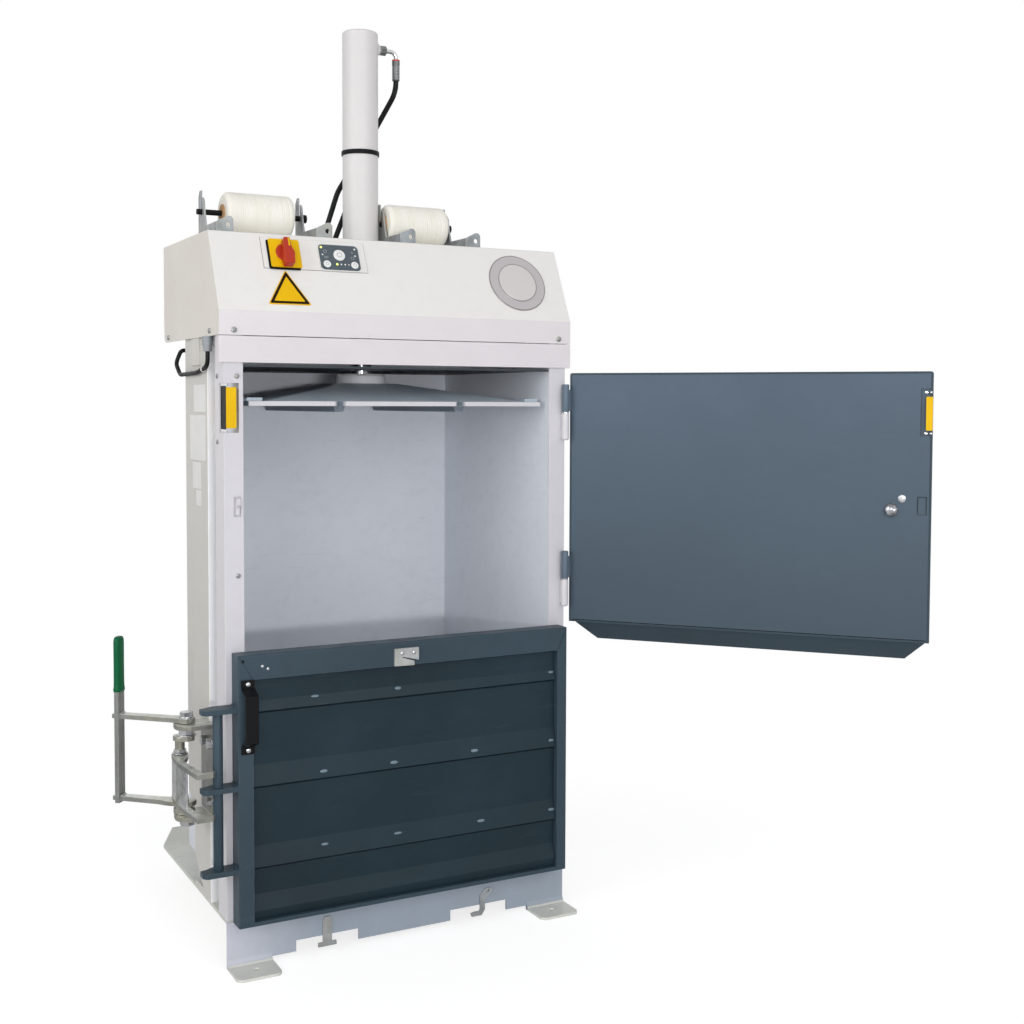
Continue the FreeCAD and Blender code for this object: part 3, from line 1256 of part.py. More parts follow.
os.makedirs("parts", exist_ok=True)
faults = 0
for thing in doc.Objects:
    if "Invalid" in thing.State or "Error" in thing.State:
        faults += 1
        print("fault in", thing.Label, thing.State)
for thing in NODES:
    shape = thing.Shape
    if shape.isNull() or not shape.isValid() or not shape.Solids:
        faults += 1
        print("bad shape", thing.Label)
        continue
    shape.exportStep("parts/%s.step" % thing.Label)
    print("%-26s solids %2d  faces %4d  volume %12.0f" % (thing.Label, len(shape.Solids),
                                                         len(shape.Faces), shape.Volume))
if faults:
    raise SystemExit("the build has %d faults" % faults)
print("nodes", len(NODES))
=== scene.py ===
import json
import math
import random

import bmesh
import bpy
from mathutils import Matrix, Vector

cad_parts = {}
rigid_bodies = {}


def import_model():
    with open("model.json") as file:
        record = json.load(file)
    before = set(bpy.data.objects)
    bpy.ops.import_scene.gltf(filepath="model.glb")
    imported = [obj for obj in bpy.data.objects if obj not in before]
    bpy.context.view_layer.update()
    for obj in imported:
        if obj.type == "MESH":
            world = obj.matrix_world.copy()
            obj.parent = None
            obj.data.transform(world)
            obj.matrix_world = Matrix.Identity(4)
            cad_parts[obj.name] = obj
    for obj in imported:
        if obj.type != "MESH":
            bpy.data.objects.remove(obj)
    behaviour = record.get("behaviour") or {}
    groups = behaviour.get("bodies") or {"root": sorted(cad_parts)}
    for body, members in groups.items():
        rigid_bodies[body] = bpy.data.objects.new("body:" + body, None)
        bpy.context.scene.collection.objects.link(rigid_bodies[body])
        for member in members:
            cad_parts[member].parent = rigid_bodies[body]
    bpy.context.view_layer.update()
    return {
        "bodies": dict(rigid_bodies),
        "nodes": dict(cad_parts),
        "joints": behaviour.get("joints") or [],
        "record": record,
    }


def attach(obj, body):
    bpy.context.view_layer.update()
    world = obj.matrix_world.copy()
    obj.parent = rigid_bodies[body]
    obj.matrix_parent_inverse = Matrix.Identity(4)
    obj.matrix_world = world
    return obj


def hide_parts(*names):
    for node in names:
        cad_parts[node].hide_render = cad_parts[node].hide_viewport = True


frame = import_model()
NODES = frame["nodes"]

# Places are in mm and angles in degrees, as in the part's source: X to the machine's right, Y to
# the back and Z up, from the floor between the two anchor holes.
MM = 0.001
FRONT = 37                      # column faces
WALL = -392                     # outer face of the left post
BREAK = 1321                    # height of the hood's fold, where its slope begins
SLOPE_RUN, SLOPE_RISE = 76, 163
HINGE = (384, 23)               # the loading door's axis: x, y
DOOR_OPEN = 131.5               # its turn at rest
LATCH = (-318, 921)             # the latch's axis on the closed door: x, z
CATCH_SLOT = (-378.5, 931)      # the slot in the liner beside it
LINER_FACE = 6.5                # the liner's inner face on the closed door
DOOR_LEFT, DOOR_RIGHT, DOOR_TOP, DOOR_FACE = -377, 374, 641, -5     # the lower door's frame
BRACKETS = (533, 376, 210)      # heights of the lock rod's brackets
CRANK = (-438, 155)             # the lock lever's axis: x, y
PIN_OUT, PIN_TURN = 14, 148.5   # the crank pin from that axis
LEVER_TURN, CLAW_TURN = 137.8, -85.2    # the ways that the lever's arms and the claw point
ROLL_AT = (272, 1542)           # the strap rolls' axis: y, z
PORT = (87, 287, 1935)          # the return hose's line, and the height of its port


# ---------------- camera

CAMERA_AT = (-1.13398, -2.53540, 1.13912)       # m
CAMERA_TURN = (28.035, 2.670, 0.182)            # yaw to the right, pitch down, roll
CAMERA_LENS, CAMERA_SHIFT = 46.74, (0.0079, -0.0457)


def make_camera():
    """A camera where the photograph's stood, fitted to the columns, the doors and the hood."""
    yaw, pitch, roll = (math.radians(a) for a in CAMERA_TURN)
    ahead = Vector((math.sin(yaw) * math.cos(pitch), math.cos(yaw) * math.cos(pitch),
                    -math.sin(pitch)))
    right = Vector((math.cos(yaw), -math.sin(yaw), 0))
    up = right.cross(ahead)
    right2 = right * math.cos(roll) + up * math.sin(roll)
    up2 = up * math.cos(roll) - right * math.sin(roll)
    data = bpy.data.cameras.new("camera")
    data.sensor_width = 36
    data.lens = CAMERA_LENS
    data.shift_x, data.shift_y = CAMERA_SHIFT
    data.clip_start, data.clip_end = 0.05, 60
    cam = bpy.data.objects.new("camera", data)
    bpy.context.scene.collection.objects.link(cam)
    turn = Matrix((right2, up2, -ahead)).transposed()
    cam.matrix_world = Matrix.Translation(CAMERA_AT) @ turn.to_4x4()
    bpy.context.scene.camera = cam


make_camera()


# ---------------- materials

def lin(rgb):
    """An sRGB colour of 0 to 255 as linear RGBA."""
    out = []
    for v in rgb:
        v /= 255
        out.append(v / 12.92 if v <= 0.04045 else ((v + 0.055) / 1.055) ** 2.4)
    return (*out, 1.0)


class Tree:
    """A node tree under construction."""

    def __init__(self, owner):
        owner.use_nodes = True
        self.nodes, self.links = owner.node_tree.nodes, owner.node_tree.links

    def put(self, node, key, value):
        """Sets a socket, or links it where the value is a socket."""
        if hasattr(value, "is_output"):
            self.links.new(value, node.inputs[key])
        else:
            node.inputs[key].default_value = value

    def add(self, kind, sockets=None, **props):
        """Adds a node with its properties, and sets or links its sockets."""
        node = self.nodes.new("ShaderNode" + kind)
        for key, value in props.items():
            setattr(node, key, value)
        for key, value in (sockets or {}).items():
            self.put(node, key, value)
        return node

    def out(self, kind, sockets=None, **props):
        """The first output of a new node."""
        return self.add(kind, sockets, **props).outputs[0]


class Shade(Tree):
    """A material's nodes, laid out by the object's own coordinates."""

    def __init__(self, name):
        self.mat = bpy.data.materials.new(name)
        super().__init__(self.mat)
        self.bsdf = self.nodes["Principled BSDF"]
        self.where = self.add("TexCoord").outputs["Object"]

    def noise(self, scale, detail=3.0, rough=0.5, stretch=None, seed=0.0):
        where = self.where
        if stretch or seed:
            where = self.out("Mapping", {"Vector": where, "Scale": stretch or (1, 1, 1),
                                         "Location": (seed, seed * 1.7, seed * 0.6)})
        return self.add("TexNoise", {"Vector": where, "Scale": scale, "Detail": detail,
                                     "Roughness": rough}).outputs["Fac"]

    def spread(self, value, lo, hi, out_lo=0.0, out_hi=1.0):
        """A value carried from one range over to another, and kept in it."""
        return self.out("MapRange", {"Value": value, "From Min": lo, "From Max": hi,
                                     "To Min": out_lo, "To Max": out_hi})

    def times(self, a, b):
        return self.out("Math", {0: a, 1: b}, operation="MULTIPLY")

    def mix(self, share, *pair):
        """Mixes two colours, each a socket or sRGB values, by the node's colour sockets."""
        a, b = (c if hasattr(c, "is_output") else lin(c) for c in pair)
        return self.add("Mix", {0: share, 6: a, 7: b}, data_type="RGBA").outputs[2]

    def tint(self, base, rgb, amount, lo, hi, *noise, **how):
        """Lays a colour over another in the patches of a noise."""
        patches = self.spread(self.noise(*noise, **how), lo, hi)
        return self.mix(self.times(patches, amount), base, rgb)

    def bump(self, height, distance, strength):
        return self.out("Bump", {"Height": height, "Distance": distance, "Strength": strength})

    def edges(self, radius):
        """1 on convex and concave edges, 0 on flats."""
        soft = self.out("Bevel", {"Radius": radius}, samples=4)
        plain = self.add("NewGeometry").outputs["Normal"]
        dot = self.add("VectorMath", {0: soft, 1: plain}, operation="DOT_PRODUCT")
        return self.spread(dot.outputs["Value"], 0.995, 0.9)

    def part(self, vector, index):
        """X, Y or Z of a vector."""
        return self.add("SeparateXYZ", {0: vector}).outputs[index]

    def facing(self, index, at):
        """1 on faces that look along an axis by more than a share, 0 elsewhere."""
        normal = self.add("NewGeometry").outputs["True Normal"]
        return self.spread(self.part(normal, index), at * 0.9, at)

    def axis(self, index):
        """X, Y or Z of the place on the object, in metres."""
        return self.part(self.where, index)

    def finish(self, colour, rough, normal=None, metallic=0.0, **fixed):
        """Wires the shader. Fixed sockets are named with _ for a space."""
        wired = {"Base Color": colour, "Roughness": rough, "Metallic": metallic}
        if normal is not None:
            wired["Normal"] = normal
        for key, value in (*wired.items(), *fixed.items()):
            self.put(self.bsdf, key.replace("_", " "), value)
        return self.mat


def shift(rgb, by):
    """A colour made darker or lighter."""
    return tuple(max(0, min(255, v * by)) for v in rgb)


def paint(name, rgb, rough=0.42, vary=0.02, wear=None, wear_amount=0.5, scuffs=0.0,
          scuff_rgb=None, grime=0.0, peel=0.00005, left=None, above=None, fade=None, **fixed):
    """Powder-coated steel: orange peel, slow colour drift, faint scuffs and worn edges. It can
    also take painted light and shade: another tone on faces that look left, another above a height
    in metres, and a tone that fades upwards from another between two heights."""
    s = Shade(name)
    colour = s.mix(s.spread(s.noise(2.3, 4, 0.55), 0.32, 0.68), shift(rgb, 1 - vary),
                   shift(rgb, 1 + vary))
    # Painted shade: another tone low down that fades out upwards between two heights.
    if fade:
        colour = s.mix(s.spread(s.axis(2), fade[0], fade[1]), fade[2], colour)
    # Painted light: another tone above a height.
    if above:
        share = s.spread(s.axis(2), above[0] - 0.0005, above[0] + 0.0005)
        colour = s.mix(share, colour, above[1])
    # Painted light and shade: another tone on faces that look left.
    if left:
        colour = s.mix(s.facing(0, -0.6), colour, left)
    if grime:
        colour = s.tint(colour, shift(rgb, 0.72), grime, 0.50, 0.78, 38, 5, 0.6, seed=3.1)
    if scuffs:
        colour = s.tint(colour, scuff_rgb or shift(rgb, 1.3), scuffs, 0.60, 0.74, 9, 6, 0.7,
                        stretch=(1.2, 1.2, 11), seed=7.7)
    if wear:
        patch = s.spread(s.noise(55, 4, 0.65, seed=1.3), 0.40, 0.64)
        share = s.times(s.times(s.edges(0.0016), patch), wear_amount)
        colour = s.mix(share, colour, wear)
    shine = s.spread(s.noise(11, 4, 0.6, seed=5.5), 0.3, 0.7, rough - 0.06, rough + 0.08)
    return s.finish(colour, shine, s.bump(s.noise(520, 2, 0.5), peel, 0.5), **fixed)


def zinc(name, rgb=(210, 213, 209), metallic=0.75, rough=0.34, sides=0.8):
    """Zinc plate: soft mottling, a warm passivated cast in places, fine handling marks. Painted
    shade: upright faces are duller and darker than level ones by the share in sides."""
    s = Shade(name)
    colour = s.mix(s.spread(s.noise(26, 4, 0.6), 0.35, 0.65), shift(rgb, 0.86), shift(rgb, 1.07))
    # Painted shade: upright faces darker than level ones.
    level = s.part(s.add("NewGeometry").outputs["Normal"], 2)
    painted_side_shade = s.spread(s.out("Math", {0: level}, operation="ABSOLUTE"), 0.75, 0.25)
    colour = s.mix(s.times(painted_side_shade, sides), colour, shift(rgb, 0.54))
    colour = s.tint(colour, (184, 180, 160), 0.45, 0.45, 0.7, 9, 3, 0.5, seed=4.2)
    colour = s.mix(s.times(s.edges(0.0012), 0.55), colour, (225, 226, 222))
    shine = s.spread(s.noise(70, 4, 0.6, seed=2.2), 0.3, 0.7, rough - 0.08, rough + 0.14)
    marks = s.noise(240, 3, 0.6, stretch=(1, 1, 0.25))
    return s.finish(colour, shine, s.bump(marks, 0.00006, 0.6), metallic)


def bright(name, rgb=(205, 206, 208), rough=0.16, low=0.9):
    """Turned or plated steel with fine rings of machining."""
    s = Shade(name)
    rings = s.noise(420, 2, 0.5, stretch=(0.2, 0.2, 1))
    colour = s.mix(s.spread(s.noise(60, 3), 0.3, 0.7), shift(rgb, low), rgb)
    shine = s.spread(s.noise(120, 3, 0.6, seed=1.1), 0.3, 0.7, rough, rough + 0.12)
    return s.finish(colour, shine, s.bump(rings, 0.00002, 0.5), 1.0)


def plastic(name, rgb, rough=0.35, vary=0.04, grain=0.00004, grain_scale=900, **fixed):
    """Moulded plastic or film with a fine grain, its depth in metres."""
    s = Shade(name)
    colour = s.mix(s.spread(s.noise(18, 4, 0.6), 0.3, 0.7), shift(rgb, 1 - vary),
                   shift(rgb, 1 + vary))
    shine = s.spread(s.noise(60, 3, 0.6, seed=2.7), 0.3, 0.7, rough - 0.05, rough + 0.08)
    return s.finish(colour, shine, s.bump(s.noise(grain_scale, 2, 0.5), grain, 0.5), **fixed)


def strap_material():
    """Polyester strap in layers, with fine bands across the roll."""
    s = Shade("strap")
    weave = s.add("TexWave", {"Vector": s.where, "Scale": 150.0, "Distortion": 1.2,
                              "Detail": 2.0}, wave_type="BANDS", bands_direction="X")
    tone = s.mix(s.spread(weave.outputs["Fac"], 0.1, 0.9), (250, 246, 234), (255, 254, 248))
    tone = s.tint(tone, (238, 230, 212), 0.35, 0.35, 0.7, 14, 3, 0.5, stretch=(3, 1, 1))
    return s.finish(tone, 0.55, s.bump(weave.outputs["Fac"], 0.0003, 0.5))


def hose_material():
    """Rubber hose with a faint cloth-wrapped skin."""
    s = Shade("hose")
    wrap = s.add("TexWave", {"Vector": s.where, "Scale": 160.0, "Distortion": 2.0},
                 wave_type="BANDS", bands_direction="DIAGONAL")
    tone = s.mix(s.spread(s.noise(60, 4), 0.3, 0.7), (20, 21, 22), (36, 38, 38))
    return s.finish(tone, s.spread(s.noise(90, 3), 0.3, 0.7, 0.38, 0.6),
                    s.bump(wrap.outputs["Fac"], 0.0002, 0.5), Specular_IOR_Level=0.15)


def card_material():
    """Brown card tube."""
    s = Shade("card")
    fibre = s.noise(160, 4, 0.7, stretch=(0.3, 1, 1))
    tone = s.mix(s.spread(fibre, 0.3, 0.7), (176, 132, 92), (205, 164, 122))
    return s.finish(tone, 0.85, s.bump(fibre, 0.0003, 0.6))


def lamp_material(name, rgb, power):
    """A small indicator lamp that glows."""
    s = Shade(name)
    mat = s.finish(s.mix(s.spread(s.noise(300, 2), 0.3, 0.7), shift(rgb, 0.95), rgb), 0.2)
    s.bsdf.inputs["Emission Color"].default_value = lin(rgb)
    s.bsdf.inputs["Emission Strength"].default_value = power
    return mat


def skirt_material():
    """The front sheet's paint with painted shade: cooler and darker to the right of its left foot.
    The foot tabs, in front of y 31 mm, are pale."""
    s = Shade("skirt_paint")
    # Painted shade: darker and cooler to the right of the left foot.
    colour = s.mix(s.spread(s.axis(0), -0.39, -0.20), (206, 208, 219), (160, 171, 184))
    colour = s.mix(s.spread(s.axis(1), 0.034, 0.031), colour, (226, 226, 218))
    colour = s.tint(colour, (128, 134, 140), 0.18, 0.4, 0.75, 16, 5, 0.65)
    shine = s.spread(s.noise(14, 3), 0.3, 0.7, 0.36, 0.5)
    return s.finish(colour, shine, s.bump(s.noise(520, 2), 0.00005, 0.5))


def post_material():
    """The posts' warm white; their front flanges, y 147 mm, are painted near white as painted
    light.
    """
    s = Shade("post_paint")
    colour = s.mix(s.spread(s.noise(2.3, 4, 0.55), 0.32, 0.68), (210, 207, 201), (217, 214, 208))
    colour = s.tint(colour, (156, 153, 148), 0.08, 0.50, 0.78, 38, 5, 0.6, seed=3.1)
    # Painted light: the front flanges near white.
    colour = s.mix(s.spread(s.axis(1), 0.1480, 0.1475), colour, (254, 254, 255))
    shine = s.spread(s.noise(11, 4, 0.6, seed=5.5), 0.3, 0.7, 0.39, 0.53)
    return s.finish(colour, shine, s.bump(s.noise(520, 2, 0.5), 0.00005, 0.5))


def pyramid_material():
    """The platen's sloping sheets in grey, and its boss, above z 1182 mm, painted near white as
    painted light.
    """
    s = Shade("pyramid_paint")
    base = s.mix(s.spread(s.noise(6, 5, 0.6), 0.3, 0.7), (176, 190, 204), (198, 210, 221))
    base = s.tint(base, (208, 216, 223), 0.3, 0.58, 0.72, 14, 6, 0.75, stretch=(1, 7, 1),
                  seed=2.0)
    # Painted light: the boss above z 1182 mm near white.
    base = s.mix(s.spread(s.axis(2), 1.1815, 1.1825), base, (244, 247, 253))
    return s.finish(base, s.spread(s.noise(20, 4), 0.3, 0.7, 0.36, 0.52),
                    s.bump(s.noise(180, 5, 0.7), 0.0001, 0.5))


def platen_material():
    """Dark press plate whose front edge is rubbed pale by what it presses."""
    s = Shade("platen_paint")
    base = s.mix(s.spread(s.noise(5, 5, 0.6), 0.3, 0.7), (84, 95, 106), (106, 118, 130))
    base = s.tint(base, (150, 158, 166), 0.35, 0.58, 0.72, 14, 6, 0.75, stretch=(1, 7, 1),
                  seed=2.0)
    near = s.spread(s.axis(1), 0.0575, 0.0500)
    grain = s.spread(s.noise(60, 5, 0.7), 0.22, 0.42, 0.7, 1.0)
    base = s.mix(s.times(near, grain), base, (212, 211, 215))
    edge = s.times(s.edges(0.002), s.spread(s.noise(40, 4), 0.4, 0.6))
    base = s.mix(s.times(edge, 0.6), base, (205, 206, 210))
    return s.finish(base, s.spread(s.noise(20, 4), 0.3, 0.7, 0.4, 0.6),
                    s.bump(s.noise(180, 5, 0.7), 0.0002, 0.5))


M = {
    # The hood carries painted light: a lighter tone on the slope above the fold, and painted
    # shade, a warmer, darker tone on faces that look left.
    "hood": paint("hood_paint", (226, 221, 224), 0.40, 0.012, grime=0.05, left=(224, 218, 209),
                  above=(1.3215, (237, 235, 232))),
    "fascia": paint("fascia_paint", (225, 219, 223), 0.40, 0.012, grime=0.05),
    "barrel": paint("barrel_paint", (222, 219, 219), 0.40, 0.012, grime=0.05),
    # Painted light: the columns' faces that look left are lighter than their fronts.
    "grey": paint("column_paint", (213, 211, 217), 0.42, 0.014, wear=(176, 176, 178),
                  wear_amount=0.25, grime=0.07, left=(226, 223, 226)),
    "post": post_material(),
    "base": paint("base_paint", (213, 214, 206), 0.5, 0.03, scuffs=0.25,
                  scuff_rgb=(170, 170, 163), grime=0.25),
    "skirt": skirt_material(),
    "chamber": paint("chamber_paint", (231, 235, 243), 0.45, 0.02, scuffs=0.35,
                     scuff_rgb=(200, 206, 216), grime=0.12),
    # Painted shade: the ceiling is painted dark for the shadow it stands in.
    "ceiling": paint("ceiling_shade_paint", (50, 57, 65), 0.5, 0.03, grime=0.2),
    "slate": paint("slate_paint", (58, 74, 85), 0.40, 0.06, wear=(128, 142, 150),
                   wear_amount=0.4, scuffs=0.28, scuff_rgb=(78, 95, 106), grime=0.15,
                   Specular_IOR_Level=0.22),
    "infill": paint("infill_paint", (33, 49, 58), 0.38, 0.15, wear=(110, 124, 133),
                    wear_amount=0.25, scuffs=0.35, scuff_rgb=(58, 76, 88), grime=0.1,
                    Specular_IOR_Level=0.20),
    # Painted shade: the liner is darker towards the bottom, fading out up to z 1.16 m.
    "door": paint("liner_paint", (84, 99, 115), 0.42, 0.035, scuffs=0.18,
                  fade=(0.60, 1.16, (68, 83, 94)),
                  scuff_rgb=(97, 112, 127), grime=0.08, Specular_IOR_Level=0.25),
    "pan": paint("pan_paint", (56, 71, 81), 0.40, 0.04, wear=(120, 132, 142), wear_amount=0.25,
                 scuffs=0.1, Specular_IOR_Level=0.22),
    "hinge": paint("hinge_paint", (98, 112, 127), 0.40, 0.05, wear=(150, 160, 168),
                   wear_amount=0.5, Specular_IOR_Level=0.3),
    "platen": platen_material(),
    "pyramid": pyramid_material(),
    "weld_mark": paint("weld_mark_paint", (108, 128, 140), 0.42, 0.05),
    "seam": plastic("seam_shadow", (148, 147, 148), 0.6, 0.02),
    "zinc": zinc("zinc_plate"),
    "zinc_dull": zinc("zinc_dull", (186, 190, 192), 0.55, 0.42, 0.2),
    "bracket": zinc("bracket_zinc", (168, 174, 178), 0.55, 0.42, 0.35),
    "screw": zinc("screw_zinc", (150, 152, 155), 0.7, 0.3, 0.3),
    "steel": bright("bright_steel"),
    "chrome": bright("chrome", (188, 190, 195), 0.12),
    "dark_steel": zinc("dark_steel", (112, 116, 118), 0.7, 0.36, 0.1),
    "yellow": plastic("yellow_plastic", (238, 190, 2), 0.40, 0.025, Specular_IOR_Level=0.2),
    "yellow_sign": plastic("yellow_film", (238, 188, 2), 0.40, 0.02, 0.00002,
                           Specular_IOR_Level=0.2),
    "sign_black": plastic("black_print", (26, 12, 6), 0.45, 0.08, 0.00002, Specular_IOR_Level=0.1),
    "red": plastic("red_plastic", (180, 48, 24), 0.34, 0.04, Specular_IOR_Level=0.35),
    "panel": plastic("panel_film", (80, 91, 98), 0.4, 0.03, Specular_IOR_Level=0.3),
    "panel_rim": plastic("panel_rim", (226, 225, 223), 0.4, 0.01),
    "key": plastic("key_white", (240, 240, 239), 0.35, 0.012),
    "key_mark": plastic("key_mark", (170, 176, 180), 0.35, 0.02),
    "led_on": lamp_material("led_lit", (226, 238, 120), 0.9),
    "led_off": plastic("led_off", (238, 240, 238), 0.2, 0.01),
    "black": plastic("black_plastic", (17, 18, 20), 0.45, 0.10, Specular_IOR_Level=0.12),
    "green": plastic("green_grip", (4, 92, 54), 0.36, 0.05, 0.0001, 300, Specular_IOR_Level=0.2),
    "grey_plastic": plastic("grey_plastic", (150, 156, 160), 0.4, 0.03),
    "silver": paint("silver_disc", (208, 205, 204), 0.36, 0.01, peel=0.00001, Metallic=0.3),
    "silver_ring": paint("silver_ring", (188, 184, 186), 0.38, 0.01, peel=0.00001, Metallic=0.3),
    "label": plastic("label_film", (232, 231, 228), 0.38, 0.012),
    "nylon": plastic("nylon_tie", (232, 232, 226), 0.35, 0.02),
    "strap": strap_material(),
    "hose": hose_material(),
    "card": card_material(),
    "ring_red": plastic("red_ring", (190, 52, 40), 0.4, 0.04),
    "badge_edge": bright("badge_edge", (148, 144, 146), 0.36),
    "latch": bright("latch_metal", (192, 195, 200), 0.14, 0.5),
    "zinc_bright": zinc("zinc_bright", (206, 208, 212), 0.85, 0.2, 0.2),
    "label_edge": plastic("label_edge", (196, 190, 180), 0.5, 0.03),
}


# ---------------- CAD nodes

def soften(obj, width, angle):
    """Rounds an object's sharp edges by a width in mm."""
    soft = obj.modifiers.new("edges", "BEVEL")
    soft.width = width * MM
    soft.segments = 2
    soft.limit_method = "ANGLE"
    soft.angle_limit = math.radians(angle)
    soft.harden_normals = True


def dress(node, key, bevel):
    """Gives a CAD node its finish and, where asked, small rounded edges."""
    obj = NODES[node]
    obj.data.materials.clear()
    obj.data.materials.append(M[key])
    if bevel:
        weld = obj.modifiers.new("weld", "WELD")
        weld.merge_threshold = 0.00001
        soften(obj, bevel, 32)


# Node, finish and edge rounding in mm.
DRESS = [
    ("base_plate", "base", 0.8), ("front_skirt", "skirt", 0.7), ("rear_skirt", "base", 0.8),
    ("strap_hooks", "zinc_dull", 0.6), ("column_left", "grey", 1.0),
    ("column_right", "grey", 1.0), ("chamber_sides", "chamber", 0),
    ("chamber_back", "chamber", 0.8), ("chamber_ceiling", "ceiling", 0),
    ("side_posts", "post", 1.6), ("crosshead_beam", "post", 2), ("hood", "hood", 0.0),
    ("fascia", "fascia", 0.8), ("control_cover", "hood", 0.5),
    ("main_switch_plate", "yellow", 0.5), ("warning_plate", "yellow_sign", 0.3),
    ("control_panel", "panel", 0.4), ("badge_disc", "silver_ring", 0.0),
    ("frame_screws", "screw", 0), ("cylinder_barrel", "barrel", 0), ("cylinder_band", "black", 0),
    ("port_fitting", "dark_steel", 0), ("hydraulic_hoses", "hose", 0),
    ("strap_brackets", "bracket", 0.6), ("strap_axles", "black", 0),
    ("interlock_switch", "yellow", 0.6), ("door_catch", "grey", 0.4),
    ("hinge_knuckles", "grey", 0), ("hinge_pins", "steel", 0), ("lock_supports", "zinc", 0.8),
    ("lock_bolts", "steel", 0.5), ("conduit_loop", "hose", 0),
    ("conduit_fittings", "grey_plastic", 0), ("piston_rod", "chrome", 0),
    ("platen", "platen", 1.0), ("platen_pyramid", "pyramid", 1.0), ("guide_pads", "pyramid", 0.8),
    ("loading_hinge_leaves", "hinge", 0.5), ("loading_door_pan", "pan", 0.8),
    ("loading_door_liner", "door", 0), ("switch_key", "yellow", 0.5), ("door_screws", "steel", 0),
    ("latch_spindle", "chrome", 0), ("latch_handle", "black", 1.0),
    ("lower_door_frame", "slate", 0), ("lower_door_infill", "infill", 1.2),
    ("grab_handle", "black", 0), ("strap_plate", "zinc_dull", 0.5), ("lock_rod", "slate", 0.8),
    ("lower_hinge_leaves", "slate", 0), ("lever_crank", "zinc", 0.6),
    ("lever_frame", "zinc", 0.8), ("lever_grip", "green", 0), ("lever_bolt", "steel", 0.5),
    ("claw", "zinc", 0.8), ("switch_knob", "red", 0), ("strap_core_left", "card", 0),
    ("strap_core_right", "card", 0), ("strap_roll_left", "strap", 0),
    ("strap_roll_right", "strap", 0),
]
for row in DRESS:
    dress(*row)


# ---------------- building pieces

def at_front(x, z, y):
    """A frame on an upright face: local X to the right, Y up, Z out to the front."""
    turn = Matrix(((1, 0, 0), (0, 0, -1), (0, 1, 0))).to_4x4()
    return Matrix.Translation((x, y, z)) @ turn


def at_left(y, z, x):
    """A frame on a face that looks to the left: local X to the front, Y up, Z to the left."""
    turn = Matrix(((0, 0, -1), (-1, 0, 0), (0, 1, 0))).to_4x4()
    return Matrix.Translation((x, y, z)) @ turn


def upright(x, y, z):
    """A frame with local Z up."""
    return Matrix.Translation((x, y, z))


def along_x(x, y, z):
    """A frame with local Z to the right."""
    return Matrix.Translation((x, y, z)) @ Matrix.Rotation(math.radians(90), 4, "Y")


def on_slope(x, up):
    """A frame on the control slope, at a height above the hood's fold."""
    return (Matrix.Translation((x, FRONT - 6 + up / SLOPE_RISE * SLOPE_RUN, BREAK + up))
            @ Matrix.Rotation(math.atan2(SLOPE_RISE, SLOPE_RUN), 4, "X"))


def on_door(x, z):
    """A frame on the open loading door's inner face, placed as on the closed door."""
    centre = Matrix.Translation((*HINGE, 0))
    turn = Matrix(((-1, 0, 0), (0, 0, 1), (0, 1, 0))).to_4x4()
    closed = Matrix.Translation((x, LINER_FACE, z)) @ turn
    return centre @ Matrix.Rotation(math.radians(DOOR_OPEN), 4, "Z") @ centre.inverted() @ closed


def pointing(turn):
    """Unit vectors along a direction in plan and to its left."""
    turn = math.radians(turn)
    return Vector((math.cos(turn), math.sin(turn))), Vector((-math.sin(turn), math.cos(turn)))


def crank_pin():
    """The crank pin's axis in plan."""
    return Vector(CRANK) + pointing(PIN_TURN)[0] * PIN_OUT


def close_piece(name, bm, key, body, smooth=35, bevel=0.0):
    """Turns a bmesh in mm into a piece in metres that rides on a body."""
    bmesh.ops.recalc_face_normals(bm, faces=bm.faces)
    bmesh.ops.scale(bm, vec=(MM, MM, MM), verts=bm.verts)
    mesh = bpy.data.meshes.new(name)
    bm.to_mesh(mesh)
    bm.free()
    mesh.materials.append(M[key])
    mesh.set_sharp_from_angle(angle=math.radians(smooth))
    for face in mesh.polygons:
        face.use_smooth = True
    obj = bpy.data.objects.new(name, mesh)
    bpy.context.scene.collection.objects.link(obj)
    if bevel:
        soften(obj, bevel, 35)
    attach(obj, body)
    return obj


def rounded(points, radius, steps=5):
    """A polygon with its corners rounded."""
    out = []
    count = len(points)
    for i in range(count):
        a, b, c = (Vector(points[(i + k) % count]).to_2d() for k in (-1, 0, 1))
        back, ahead = (a - b).normalized(), (c - b).normalized()
        half = math.acos(max(-1, min(1, back.dot(ahead)))) / 2
        reach = radius / math.tan(half)
        centre = b + (back + ahead).normalized() * (radius / math.sin(half))
        first, last = b + back * reach - centre, b + ahead * reach - centre
        start = math.atan2(first.y, first.x)
        sweep = (math.atan2(last.y, last.x) - start + math.pi) % (2 * math.pi) - math.pi
        for k in range(steps + 1):
            t = start + sweep * k / steps
            out.append((centre.x + radius * math.cos(t), centre.y + radius * math.sin(t)))
    return out


def box2(x0, y0, x1, y1):
    """A rectangle's corners."""
    return [(x0, y0), (x1, y0), (x1, y1), (x0, y1)]


def slab(bm, outline, z0, z1, frame):
    """A closed prism over an outline."""
    low = [bm.verts.new(frame @ Vector((x, y, z0))) for x, y in outline]
    high = [bm.verts.new(frame @ Vector((x, y, z1))) for x, y in outline]
    count = len(outline)
    bm.faces.new(low)
    bm.faces.new(high)
    for i in range(count):
        k = (i + 1) % count
        bm.faces.new((low[i], low[k], high[k], high[i]))


def ring_slab(bm, outer, inner, z0, z1, frame):
    """A prism between two outlines with the same number of points."""
    rows = [[bm.verts.new(frame @ Vector((x, y, z))) for x, y in loop]
            for loop, z in ((outer, z0), (outer, z1), (inner, z1), (inner, z0))]
    count = len(outer)
    for a in range(4):
        b = (a + 1) % 4
        for i in range(count):
            k = (i + 1) % count
            bm.faces.new((rows[a][i], rows[a][k], rows[b][k], rows[b][i]))


